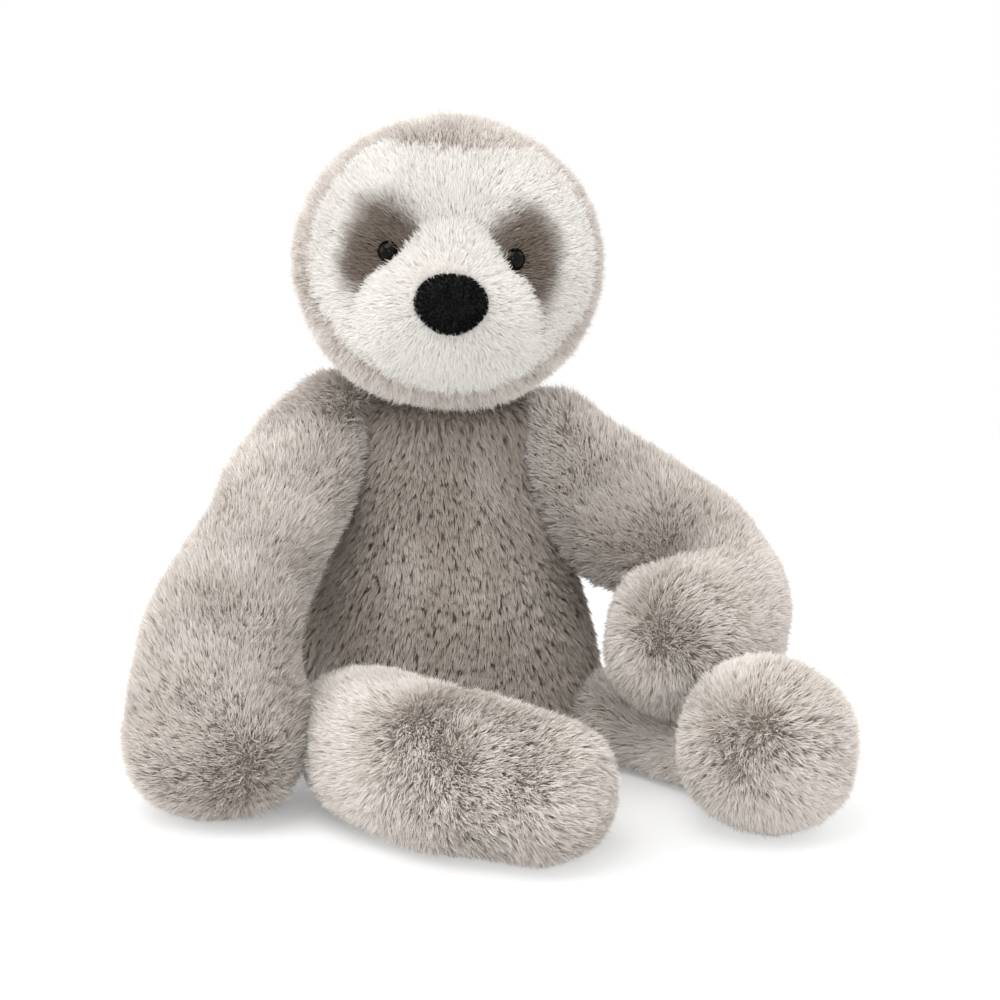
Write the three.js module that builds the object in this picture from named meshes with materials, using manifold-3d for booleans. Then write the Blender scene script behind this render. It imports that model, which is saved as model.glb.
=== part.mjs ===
// A seated plush sloth: long-pile fabric skins over stuffing, glossy safety eyes and a velour nose.
// Millimetres, +Z up. The toy faces -Y and sits on the floor, z = 0, with its body over the origin.
// Left and right are the toy's own, so its right arm is on the -X side.
import * as THREE from 'three';
import { mergeVertices } from 'three/addons/utils/BufferGeometryUtils.js';
import Module from 'manifold-3d';

const wasm = await Module();
wasm.setup();

// Fabric and clearances
const PLUSH_THICKNESS = 7; // backing cloth with the pile lying on it
const GAP = 0.3; // between pieces that lie against each other
const HIP_EASE = 0.5; // room between a leg's round root and the pocket that it swings in
const ARM_EASE = 0.8;
const STUFFING_GAP = 0.6; // between the facets of a skin and the stuffing behind it
const FLOOR_FLAT = 0.5; // depth of the flat that the weight presses
const OVERRUN = 400; // reach of the cutting blocks past the toy

// Body, from the seat to the gathered neck
const BODY_HEIGHT = 173.5;
const BODY_WIDTH = 134;
const BODY_DEPTH = 106;
const BODY_SEAM_BACK = 8; // side seams behind the middle
const PELLET_HEIGHT = 27; // top of the weighted pouch above the seat

// Head, a ball a little wider than high, sewn to the top of the body
const HEAD_WIDTH = 135;
const HEAD_HEIGHT = 125;
const HEAD_DEPTH = 115;
const HEAD_SINK = 9.5; // how far the neck pushes into the head
const HEAD_FORWARD = 6;
const HEAD_ASIDE = 1.2; // to the toy's left of the neck
const HEAD_ROLL = THREE.MathUtils.degToRad(3.5);
const FACE_SEAM_FORWARD = 28; // seam between the pale face and the grey cover, ahead of the centre
const FACE_SEAM_TILT = THREE.MathUtils.degToRad(12);
const FACE_TOP = 53; // the pale face ends this far above the middle of the head

// Muzzle and nose, measured from the middle of the head
const MUZZLE_WIDTH = 82;
const MUZZLE_HEIGHT = 81;
const MUZZLE_PROUD = 17.5; // how far the muzzle stands out of the front of the head
const MUZZLE_DEPTH = 42;
const MUZZLE_DROP = 7.5; // below the middle of the head
const NOSE_WIDTH = 31;
const NOSE_HEIGHT = 26;
const NOSE_DEPTH = 18;
const NOSE_PROUD = 5; // how far the nose stands out of the muzzle
const NOSE_DROP = 4.7;

// Safety eyes: a dome on a shank, with a washer behind the backing cloth
const EYE_DIAMETER = 10;
const EYE_HEIGHT = 5.2;
const EYE_SPACING = 54.4;
const EYE_RISE = 12.5; // above the middle of the head
const EYE_SUNK = 4; // base of the dome below the pile
const SHANK_DIAMETER = 3.2;
const SHANK_LENGTH = 10;
const WASHER_DIAMETER = 12;
const WASHER_THICKNESS = 1.6;
const WASHER_SEAT = 2.6; // a flat washer stands this far off the curved cloth at its middle

// Limbs
const PAW_RADIUS = 36;
const TOE_RADIUS = 33.6; // thickest part of the right foot, which lies on its side
const SHOULDER_SPREAD = 51.5; // right arm's pivot from the middle
const SHOULDER_DROP = 18.5; // below the top of the neck
const SHOULDER_FORWARD = 2; // pivots ahead of the middle
const SHOULDER_SEAT_SPREAD = 37; // flat on the side of the body that the right arm turns on
const SHOULDER_SEAT_RADIUS = 28;
const RAISED_SPREAD = 59; // left arm's pivot from the middle
const RAISED_DROP = 44; // below the top of the neck
const RAISED_SEAM_HALF = 34; // half the length of the seam at the left arm's root
const RAISED_RADIUS = 19.1; // left arm at its pivot
const RAISED_ROOT_DEPTH = 17.7; // its round end, behind the pivot
const ARM_FORWARD = 90; // right paw ahead of its shoulder
const PAW_CLEARANCE = 3; // between the right paw and the right leg
const HIP_SPREAD = 33; // right leg's pivot from the middle
const HIP_FORWARD = 45;
const HIP_RADIUS = 25; // right leg at its pivot, seen from the side
const HIP_HALF_WIDTH = 27.6; // right leg at its pivot, seen from the front
const HIP_POCKET_HALF_WIDTH = 30.2; // wider, because the leg swells ahead of its root
const THIGH_EDGE = 28.9; // right leg's outer edge beside the right paw, from its hip
const LEG_REACH = 101; // right foot ahead of its hip
const LEG_SWING_IN = 72; // right foot to the left of its hip
const SPLAY_SPREAD = 50; // left leg's pivot from the middle
const SPLAY_FORWARD = 10;
const SPLAY_RADIUS = 22; // left leg at its pivot
const SPLAY_HEIGHT = 40; // left leg's height at its pivot
const SPLAY_ROOT_ANGLE = THREE.MathUtils.degToRad(-28); // the way that leg leaves the body
const SPLAY_OUT = 89.6; // left foot to the left of its hip
const SPLAY_REACH = 98; // left foot ahead of its hip
const LEG_UNDER_PAW = 34.6; // height of the left leg where the left paw rests on it
const PAW_REST_GAP = 3; // between the left paw and that leg, which the pile fills
const PAW_INSIDE_FOOT = 34.4; // middle of the left paw from the middle of the left foot
const PAW_BEHIND_FOOT = 48;

// Room that the body leaves the hips to turn in
const HIP_LIFT = THREE.MathUtils.degToRad(45);
const SPLAY_RANGE = [-12, 22].map(THREE.MathUtils.degToRad);

// Facets
const BODY_SIDES = 22;
const BODY_INNER_SIDES = 14;
const HEAD_SIDES = [24, 16];
const HEAD_INNER_SIDES = [14, 10];
const MUZZLE_SIDES = 24;
const SMALL_SIDES = 20;
const DOME_STEPS = 4;
const ROUTE_STEPS = 9;
const CAP_STEPS = 3;
const ARC_STEPS = 8; // across the outside of one panel
const INNER_ARC_STEPS = 5;

// Each body ring: height, half width and half depth, as shares of the body's sizes
const BODY_RING_SHARES = [
  [0, 0, 0], [0.004, 0.7, 0.7], [0.03, 0.87, 0.87], [0.075, 0.965, 0.96], [0.14, 1, 1],
  [0.22, 0.99, 0.98], [0.32, 0.945, 0.925], [0.43, 0.87, 0.87], [0.54, 0.755, 0.8],
  [0.65, 0.675, 0.73], [0.75, 0.63, 0.68], [0.83, 0.605, 0.64], [0.89, 0.595, 0.6],
  [0.94, 0.53, 0.54], [0.975, 0.37, 0.37], [1, 0, 0],
];
const NECK_FROM_SHARE = 0.75; // rings above this share of the height push into the head

// Each muzzle ring, from the chin to the bridge between the eyes: height, half width and depth
const MUZZLE_RING_SHARES = [
  [0, 0, 0], [0.046, 0.57, 0.37], [0.138, 0.806, 0.62], [0.264, 0.958, 0.845],
  [0.414, 1, 0.976], [0.552, 0.965, 1], [0.667, 0.81, 0.952], [0.77, 0.64, 0.833],
  [0.897, 0.5, 0.595], [0.954, 0.47, 0.44], [0.989, 0.34, 0.285], [1, 0, 0],
];

const PLUSH_GREY = { color: 0xb5aca5, roughness: 0.95, metalness: 0 };
const PLUSH_CREAM = { color: 0xeee9e1, roughness: 0.95, metalness: 0 };
const STUFFING_WHITE = { color: 0xf3f3ef, roughness: 1, metalness: 0 };
const POUCH_CLOTH = { color: 0xd8d2c4, roughness: 0.9, metalness: 0 };
const NOSE_VELOUR = { color: 0x1e1b1c, roughness: 0.9, metalness: 0 };
const EYE_GLOSS = { color: 0x16100d, roughness: 0.08, metalness: 0 };
const WASHER_PLASTIC = { color: 0xe6e6e2, roughness: 0.5, metalness: 0 };

const toy = new THREE.Group();
const headGroup = new THREE.Group();
headGroup.position.set(HEAD_ASIDE, -HEAD_FORWARD, BODY_HEIGHT - HEAD_SINK + HEAD_HEIGHT / 2);
headGroup.rotation.y = HEAD_ROLL;
headGroup.updateMatrix();
toy.add(headGroup);

// Solids and meshes

// A closed geometry as a solid: only positions are kept, and triangles without area go.
function solid(geometry) {
  const bare = new THREE.BufferGeometry();
  bare.setAttribute('position', geometry.getAttribute('position'));
  bare.setIndex(geometry.getIndex());
  const merged = mergeVertices(bare, 1e-4);
  const corners = merged.getIndex().array;
  const kept = [];
  for (let i = 0; i < corners.length; i += 3) {
    const [a, b, c] = corners.slice(i, i + 3);
    if (a !== b && b !== c && c !== a) kept.push(a, b, c);
  }
  return new wasm.Manifold(new wasm.Mesh({
    numProp: 3,
    vertProperties: new Float32Array(merged.getAttribute('position').array),
    triVerts: new Uint32Array(kept),
  }));
}

function addPart(group, name, shape, finish) {
  const mesh = shape.getMesh();
  const geometry = new THREE.BufferGeometry();
  geometry.setAttribute('position', new THREE.BufferAttribute(mesh.vertProperties, 3));
  geometry.setIndex(new THREE.BufferAttribute(mesh.triVerts, 1));
  geometry.computeVertexNormals();
  const part = new THREE.Mesh(geometry, new THREE.MeshStandardMaterial(finish));
  part.name = name;
  group.add(part);
}

// A closed surface through rings of equal point counts. A ring may shrink to a point or a line.
function loft(rings) {
  const count = rings[0].length;
  const positions = rings.flat().flatMap((point) => [point.x, point.y, point.z]);
  const faces = [];
  for (let row = 0; row < rings.length - 1; row += 1) {
    for (let i = 0; i < count; i += 1) {
      const a = row * count + i;
      const b = row * count + ((i + 1) % count);
      faces.push(a, b, b + count, a, b + count, a + count);
    }
  }
  const geometry = new THREE.BufferGeometry();
  geometry.setAttribute('position', new THREE.Float32BufferAttribute(positions, 3));
  geometry.setIndex(signedVolume(rings, faces) < 0 ? faces.reverse() : faces);
  return solid(geometry);
}

function signedVolume(rings, faces) {
  const points = rings.flat();
  let total = 0;
  for (let i = 0; i < faces.length; i += 3) {
    const [a, b, c] = faces.slice(i, i + 3).map((corner) => points[corner]);
    total += a.dot(b.clone().cross(c));
  }
  return total;
}

// A level oval of points
function ovalRing(halfWidth, halfDepth, centre, sides) {
  return Array.from({ length: sides }, (_, i) => {
    const angle = (2 * Math.PI * i) / sides;
    const offset = new THREE.Vector3(halfWidth * Math.cos(angle), halfDepth * Math.sin(angle), 0);
    return offset.add(centre);
  });
}

function ellipsoid(width, depth, height, sides, centre = new THREE.Vector3()) {
  const ball = new THREE.SphereGeometry(1, sides[0], sides[1]);
  ball.rotateX(Math.PI / 2);
  ball.scale(width / 2, depth / 2, height / 2);
  ball.translate(centre.x, centre.y, centre.z);
  return solid(ball);
}

// The half space on the far side of a plane, as a large block
function blockBeyond(point, direction) {
  const block = new THREE.BoxGeometry(2 * OVERRUN, 2 * OVERRUN, OVERRUN);
  block.translate(0, 0, OVERRUN / 2);
  const turn = new THREE.Quaternion();
  turn.setFromUnitVectors(new THREE.Vector3(0, 0, 1), direction.clone().normalize());
  block.applyQuaternion(turn);
  block.translate(point.x, point.y, point.z);
  return solid(block);
}

// A round bar along an axis from a start point
function bar(radius, length, start, direction) {
  const cylinder = new THREE.CylinderGeometry(radius, radius, length, SMALL_SIDES);
  cylinder.translate(0, length / 2, 0);
  const turn = new THREE.Quaternion();
  turn.setFromUnitVectors(new THREE.Vector3(0, 1, 0), direction.clone().normalize());
  cylinder.applyQuaternion(turn);
  cylinder.translate(start.x, start.y, start.z);
  return solid(cylinder);
}

const floorBlock = blockBeyond(new THREE.Vector3(), new THREE.Vector3(0, 0, -1));

// Limbs

// Points of a limb's middle line, from its pivot to its paw, by shares of the way between them
function routePoints(from, to, shares) {
  const way = to.clone().sub(from);
  return shares.map((share) => new THREE.Vector3(...share).multiply(way).add(from));
}

// Stations along a limb: a round cap at the root, the route and a round cap at the paw.
// Each holds its centre, the seam and panel directions and how far the limb reaches along them.
function stations(limb, inset) {
  const line = new THREE.CatmullRomCurve3(limb.route, false, 'catmullrom', 0.5);
  const sizes = new THREE.CatmullRomCurve3(limb.radii, false, 'catmullrom', 0.5);
  const at = (t, along, shrink) => {
    const tangent = line.getTangent(t);
    const size = sizes.getPoint(t);
    const fixed = limb.seamAxis ?? limb.panelAxis;
    const square = fixed.clone().addScaledVector(tangent, -fixed.dot(tangent)).normalize();
    const other = tangent.clone().cross(square).normalize();
    return {
      centre: line.getPoint(t).addScaledVector(tangent, along),
      seam: limb.seamAxis ? square : other,
      panel: limb.seamAxis ? other : square,
      seamRadius: (size.x - inset) * shrink,
      panelRadius: (size.y - inset) * shrink,
    };
  };
  const result = [];
  for (let i = CAP_STEPS; i > 0; i -= 1) {
    const angle = (i / CAP_STEPS) * Math.PI / 2;
    result.push(at(0, -(limb.rootCap - inset) * Math.sin(angle), Math.cos(angle)));
  }
  for (let i = 0; i <= ROUTE_STEPS; i += 1) result.push(at(i / ROUTE_STEPS, 0, 1));
  for (let i = 1; i <= CAP_STEPS; i += 1) {
    const angle = (i / CAP_STEPS) * Math.PI / 2;
    result.push(at(1, (limb.pawCap - inset) * Math.sin(angle), Math.cos(angle)));
  }
  return result;
}

function arc(station, from, to, steps, shift) {
  return Array.from({ length: steps + 1 }, (_, i) => {
    const angle = from + ((to - from) * i) / steps;
    return station.centre.clone()
      .addScaledVector(station.seam, station.seamRadius * Math.cos(angle))
      .addScaledVector(station.panel, station.panelRadius * Math.sin(angle) + shift);
  });
}

// One fabric panel: half of the limb's skin on one side of its seam, with the pile's thickness
function limbPanel(limb, side) {
  const outer = stations(limb, 0);
  const inner = stations(limb, PLUSH_THICKNESS);
  const shift = side * GAP / 2;
  const rings = outer.map((station, i) => [
    ...arc(station, 0, side * Math.PI, ARC_STEPS, shift),
    ...arc(inner[i], side * Math.PI, 0, INNER_ARC_STEPS, shift),
  ]);
  return trimLimb(loft(rings), limb, 0);
}

function limbCore(limb) {
  const inset = PLUSH_THICKNESS + STUFFING_GAP;
  const rings = stations(limb, inset)
    .map((station) => arc(station, 0, 2 * Math.PI, 2 * INNER_ARC_STEPS, 0).slice(0, -1));
  return trimLimb(loft(rings), limb, inset);
}

function trimLimb(shape, limb, inset) {
  const onFloor = shape.subtract(floorBlock);
  return limb.seatX ? onFloor.subtract(seatBlock(limb.seatX, inset)) : onFloor;
}

function seatBlock(seatX, inset) {
  const inward = new THREE.Vector3(-Math.sign(seatX), 0, 0);
  const point = new THREE.Vector3(seatX, 0, 0).addScaledVector(inward, -GAP - inset);
  return blockBeyond(point, inward);
}

function addLimb(name, sides, limb) {
  addPart(toy, `${name}_${sides[0]}_skin`, limbPanel(limb, 1), PLUSH_GREY);
  addPart(toy, `${name}_${sides[1]}_skin`, limbPanel(limb, -1), PLUSH_GREY);
  addPart(toy, `${name}_stuffing`, limbCore(limb), STUFFING_WHITE);
}

function radii(seamShares, panelShares, size) {
  return seamShares.map((share, i) => new THREE.Vector3(share * size, panelShares[i] * size, 0));
}

// Lays a route on the floor, so that the limb's underside is pressed flat by the floor's depth
function onFloor(route, sizes) {
  return route.map((point, i) => new THREE.Vector3(point.x, point.y, sizes[i].y - FLOOR_FLAT));
}

const rightHip = new THREE.Vector3(-HIP_SPREAD, -HIP_FORWARD, HIP_RADIUS - FLOOR_FLAT);
const leftHip = new THREE.Vector3(SPLAY_SPREAD, -SPLAY_FORWARD, SPLAY_HEIGHT / 2 - FLOOR_FLAT);
const rightShoulder = new THREE.Vector3(-SHOULDER_SPREAD, -SHOULDER_FORWARD, BODY_HEIGHT - SHOULDER_DROP);
const leftShoulder = new THREE.Vector3(RAISED_SPREAD, -SHOULDER_FORWARD, BODY_HEIGHT - RAISED_DROP);

function rightLeg() {
  const toe = rightHip.clone().add(new THREE.Vector3(LEG_SWING_IN, -LEG_REACH, 0));
  const shares = [[0, 0, 0], [-0.02, 0.29, 0], [0.23, 0.66, 0], [0.57, 0.88, 0], [1, 1, 0]];
  const seamShares = [HIP_HALF_WIDTH / TOE_RADIUS, 0.9, 0.98, 1, 0.9];
  const panelShares = [HIP_RADIUS / TOE_RADIUS, 0.86, 0.98, 1, 0.905];
  const sizes = radii(seamShares, panelShares, TOE_RADIUS);
  return {
    route: onFloor(routePoints(rightHip, toe, shares), sizes),
    radii: sizes,
    panelAxis: new THREE.Vector3(0, 0, 1),
    rootCap: HIP_RADIUS,
    pawCap: TOE_RADIUS * seamShares.at(-1),
  };
}

const leftFoot = new THREE.Vector3(SPLAY_SPREAD + SPLAY_OUT, -SPLAY_FORWARD - SPLAY_REACH, 0);

function leftLeg() {
  const shares = [[0, 0, 0], [0.25, 0.09, 0], [0.52, 0.34, 0], [0.8, 0.71, 0], [1, 1, 0]];
  const rootShare = SPLAY_RADIUS / PAW_RADIUS;
  const heightShare = SPLAY_HEIGHT / 2 / PAW_RADIUS;
  const seamShares = [rootShare, rootShare, rootShare, 0.68, 1];
  const panelShares = [heightShare, heightShare, LEG_UNDER_PAW / 2 / PAW_RADIUS, 0.608, 1];
  const sizes = radii(seamShares, panelShares, PAW_RADIUS);
  return {
    route: onFloor(routePoints(leftHip, leftFoot, shares), sizes),
    radii: sizes,
    panelAxis: new THREE.Vector3(0, 0, 1),
    rootCap: SPLAY_RADIUS,
    pawCap: PAW_RADIUS,
  };
}

function rightArm() {
  const pawX = -(HIP_SPREAD + THIGH_EDGE + PAW_CLEARANCE + PAW_RADIUS);
  const paw = new THREE.Vector3(pawX, -SHOULDER_FORWARD - ARM_FORWARD, PAW_RADIUS - FLOOR_FLAT);
  const shares = [[0, 0, 0], [0.29, 0.22, 0.205], [0.67, 0.51, 0.445], [0.91, 0.8, 0.695], [1, 1, 1]];
  const seamShares = [0.62, 0.74, 0.84, 0.93, 1];
  const panelShares = [0.56, 0.63, 0.71, 0.83, 1];
  return {
    route: routePoints(rightShoulder, paw, shares),
    radii: radii(seamShares, panelShares, PAW_RADIUS),
    panelAxis: new THREE.Vector3(-1, 0, 0),
    rootCap: PAW_RADIUS * panelShares[0],
    pawCap: PAW_RADIUS,
    seatX: -SHOULDER_SEAT_SPREAD,
  };
}

function leftArm() {
  const height = LEG_UNDER_PAW - FLOOR_FLAT + PAW_REST_GAP + PAW_RADIUS;
  const paw = leftFoot.clone().add(new THREE.Vector3(-PAW_INSIDE_FOOT, PAW_BEHIND_FOOT, height));
  const shares = [
    [0, 0, 0], [0.41, -0.05, 0.09], [0.81, -0.04, 0.35], [1.2, 0.14, 0.67], [1.38, 0.54, 0.85], [1, 1, 1],
  ];
  const seamShares = [RAISED_SEAM_HALF / PAW_RADIUS, 0.83, 0.9, 0.95, 0.96, 0.97];
  const panelShares = [RAISED_RADIUS / PAW_RADIUS, 0.6, 0.66, 0.68, 0.76, 0.95];
  const capShare = 0.74;
  return {
    route: routePoints(leftShoulder, paw, shares),
    radii: radii(seamShares, panelShares, PAW_RADIUS),
    seamAxis: new THREE.Vector3(0, 0, 1),
    rootCap: RAISED_ROOT_DEPTH,
    pawCap: PAW_RADIUS * capShare,
  };
}

// Room that the body leaves a limb's root to swing in: a round pocket about the pivot, opened
// towards the limb by two flat sides, one at each end of its range.
function swingPocket(radius, halfLength, range, grow) {
  const reach = radius + grow;
  const outline = new THREE.Shape();
  outline.absarc(0, 0, reach, range[1] + Math.PI / 2, range[0] + 1.5 * Math.PI, false);
  for (const end of range) {
    const side = end === range[0] ? -1 : 1;
    const out = new THREE.Vector2(Math.cos(end), Math.sin(end)).multiplyScalar(BODY_WIDTH);
    const square = new THREE.Vector2(-Math.sin(end), Math.cos(end)).multiplyScalar(side * reach);
    outline.lineTo(out.x + square.x, out.y + square.y);
  }
  const length = 2 * (halfLength + grow);
  const pocket = new THREE.ExtrudeGeometry(outline, {
    depth: length, bevelEnabled: false, curveSegments: SMALL_SIDES,
  });
  pocket.translate(0, 0, -length / 2);
  return pocket;
}

// The right hip turns about X: its pocket's outline lies in the plane of Y and Z.
function rightHipPocket(grow) {
  const pocket = swingPocket(HIP_RADIUS, HIP_POCKET_HALF_WIDTH, [0, HIP_LIFT], grow);
  pocket.rotateX(Math.PI / 2);
  pocket.rotateZ(-Math.PI / 2);
  pocket.translate(rightHip.x, rightHip.y, rightHip.z);
  return solid(pocket);
}

// The left hip turns about Z, on the floor.
function leftHipPocket(grow) {
  const pocket = swingPocket(SPLAY_RADIUS, SPLAY_HEIGHT / 2 + GAP, SPLAY_RANGE, grow);
  pocket.rotateZ(SPLAY_ROOT_ANGLE);
  pocket.translate(leftHip.x, leftHip.y, leftHip.z);
  return solid(pocket);
}

function rightShoulderPocket(grow) {
  const start = rightShoulder.clone().setX(-SHOULDER_SEAT_SPREAD + grow);
  return bar(SHOULDER_SEAT_RADIUS + grow, OVERRUN, start, new THREE.Vector3(-1, 0, 0));
}

function leftShoulderPocket(grow) {
  const half = RAISED_SEAM_HALF + grow;
  const start = leftShoulder.clone().setZ(leftShoulder.z - half);
  return bar(RAISED_RADIUS + grow, 2 * half, start, new THREE.Vector3(0, 0, 1));
}

// Body

function bodyRings(inset, sides) {
  const height = BODY_HEIGHT + FLOOR_FLAT;
  return BODY_RING_SHARES.map(([heightShare, widthShare, depthShare]) => {
    const z = inset - FLOOR_FLAT + heightShare * (height - 2 * inset);
    const halfWidth = Math.max(widthShare * BODY_WIDTH / 2 - inset, 0);
    const halfDepth = Math.max(depthShare * BODY_DEPTH / 2 - inset, 0);
    return ovalRing(halfWidth, halfDepth, new THREE.Vector3(0, 0, z), sides);
  });
}

function bodySolid(inset, sides) {
  return loft(bodyRings(inset, sides))
    .subtract(rightHipPocket(HIP_EASE + inset))
    .subtract(leftHipPocket(HIP_EASE + inset))
    .subtract(rightShoulderPocket(inset))
    .subtract(leftShoulderPocket(ARM_EASE + inset))
    .subtract(floorBlock);
}

function addBody() {
  const shell = bodySolid(0, BODY_SIDES).subtract(bodySolid(PLUSH_THICKNESS, BODY_INNER_SIDES));
  const core = bodySolid(PLUSH_THICKNESS + STUFFING_GAP, BODY_INNER_SIDES);
  const forward = new THREE.Vector3(0, -1, 0);
  const back = forward.clone().negate();
  const up = new THREE.Vector3(0, 0, 1);
  const frontFace = back.clone().multiplyScalar(BODY_SEAM_BACK - GAP);
  const backFace = back.clone().multiplyScalar(BODY_SEAM_BACK);
  const pouchTop = up.clone().multiplyScalar(PELLET_HEIGHT);
  const stuffingBase = up.clone().multiplyScalar(PELLET_HEIGHT + GAP);
  addPart(toy, 'body_front_skin', shell.intersect(blockBeyond(frontFace, forward)), PLUSH_GREY);
  addPart(toy, 'body_back_skin', shell.intersect(blockBeyond(backFace, back)), PLUSH_GREY);
  addPart(toy, 'body_stuffing', core.intersect(blockBeyond(stuffingBase, up)), STUFFING_WHITE);
  addPart(toy, 'pellet_pouch', core.intersect(blockBeyond(pouchTop, up.clone().negate())), POUCH_CLOTH);
}

// Head, in its own frame about the middle of the ball

function headSolid(inset, sides) {
  return ellipsoid(HEAD_WIDTH - 2 * inset, HEAD_DEPTH - 2 * inset, HEAD_HEIGHT - 2 * inset, sides);
}

// The neck, round about the axis that the head turns on, brought into the head's frame
function neckPocket(grow) {
  const height = BODY_HEIGHT + FLOOR_FLAT;
  const profile = BODY_RING_SHARES
    .filter(([heightShare]) => heightShare >= NECK_FROM_SHARE)
    .map(([heightShare, widthShare]) => new THREE.Vector2(
      widthShare > 0 ? widthShare * BODY_WIDTH / 2 + grow : 0,
      heightShare * height - FLOOR_FLAT + grow,
    ));
  profile.unshift(new THREE.Vector2(0, profile[0].y));
  const neck = new THREE.LatheGeometry(profile, SMALL_SIDES);
  neck.rotateX(Math.PI / 2);
  neck.applyMatrix4(headGroup.matrix.clone().invert());
  return solid(neck);
}

function eyePlace(side) {
  const x = side * EYE_SPACING / 2;
  const y = -HEAD_DEPTH / 2 * Math.sqrt(
    1 - (2 * x / HEAD_WIDTH) ** 2 - (2 * EYE_RISE / HEAD_HEIGHT) ** 2,
  );
  const surface = new THREE.Vector3(x, y, EYE_RISE);
  const out = new THREE.Vector3(x / HEAD_WIDTH ** 2, y / HEAD_DEPTH ** 2, EYE_RISE / HEAD_HEIGHT ** 2);
  out.normalize();
  return { base: surface.addScaledVector(out, -EYE_SUNK), out };
}

function turned(profile, place) {
  const shape = new THREE.LatheGeometry(profile.map(([r, h]) => new THREE.Vector2(r, h)), SMALL_SIDES);
  const turn = new THREE.Quaternion().setFromUnitVectors(new THREE.Vector3(0, 1, 0), place.out);
  shape.applyQuaternion(turn);
  shape.translate(place.base.x, place.base.y, place.base.z);
  return solid(shape);
}

function eyeShape(place) {
  const radius = EYE_DIAMETER / 2;
  const dome = Array.from({ length: DOME_STEPS }, (_, i) => {
    const angle = (i / DOME_STEPS) * Math.PI / 2;
    return [radius * Math.cos(angle), EYE_HEIGHT * Math.sin(angle)];
  });
  dome.push([0, EYE_HEIGHT]);
  const shank = SHANK_DIAMETER / 2;
  return turned([[0, -SHANK_LENGTH], [shank, -SHANK_LENGTH], [shank, 0], ...dome], place);
}

// The hole that the dome sits in and the narrower one that its shank passes
function eyeHole(place) {
  const wide = EYE_DIAMETER / 2 + GAP;
  const narrow = SHANK_DIAMETER / 2 + GAP;
  const depth = -SHANK_LENGTH - GAP;
  return turned([
    [0, depth], [narrow, depth], [narrow, -GAP], [wide, -GAP], [wide, OVERRUN], [0, OVERRUN],
  ], place);
}

const washerTop = EYE_SUNK - PLUSH_THICKNESS - WASHER_SEAT;

function washerShape(place) {
  const inner = SHANK_DIAMETER / 2 + GAP;
  const outer = WASHER_DIAMETER / 2;
  const base = washerTop - WASHER_THICKNESS;
  return turned([[inner, base], [outer, base], [outer, washerTop], [inner, washerTop], [inner, base]], place);
}

// The hollow that the stuffing leaves behind an eye
function washerHollow(place) {
  const wide = WASHER_DIAMETER / 2 + GAP;
  const depth = -SHANK_LENGTH - GAP;
  return turned([[0, depth], [wide, depth], [wide, EYE_SUNK], [0, EYE_SUNK]], place);
}

const muzzleReach = HEAD_DEPTH / 2 + MUZZLE_PROUD;

function noseCentre() {
  return new THREE.Vector3(0, NOSE_DEPTH / 2 - muzzleReach - NOSE_PROUD, -NOSE_DROP);
}

function noseSolid(grow) {
  const sides = [SMALL_SIDES, SMALL_SIDES / 2];
  return ellipsoid(NOSE_WIDTH + 2 * grow, NOSE_DEPTH + 2 * grow, NOSE_HEIGHT + 2 * grow, sides, noseCentre());
}

// The muzzle, narrow at its bridge and wide at its cheeks, on the front of the head
function muzzleSolid() {
  const rings = MUZZLE_RING_SHARES.map(([heightShare, widthShare, depthShare]) => {
    const height = heightShare * MUZZLE_HEIGHT - MUZZLE_HEIGHT / 2 - MUZZLE_DROP;
    const centre = new THREE.Vector3(0, MUZZLE_DEPTH - muzzleReach, height);
    return ovalRing(widthShare * MUZZLE_WIDTH / 2, depthShare * MUZZLE_DEPTH, centre, MUZZLE_SIDES);
  });
  return loft(rings)
    .subtract(headSolid(-GAP, HEAD_SIDES))
    .subtract(noseSolid(GAP));
}

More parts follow.
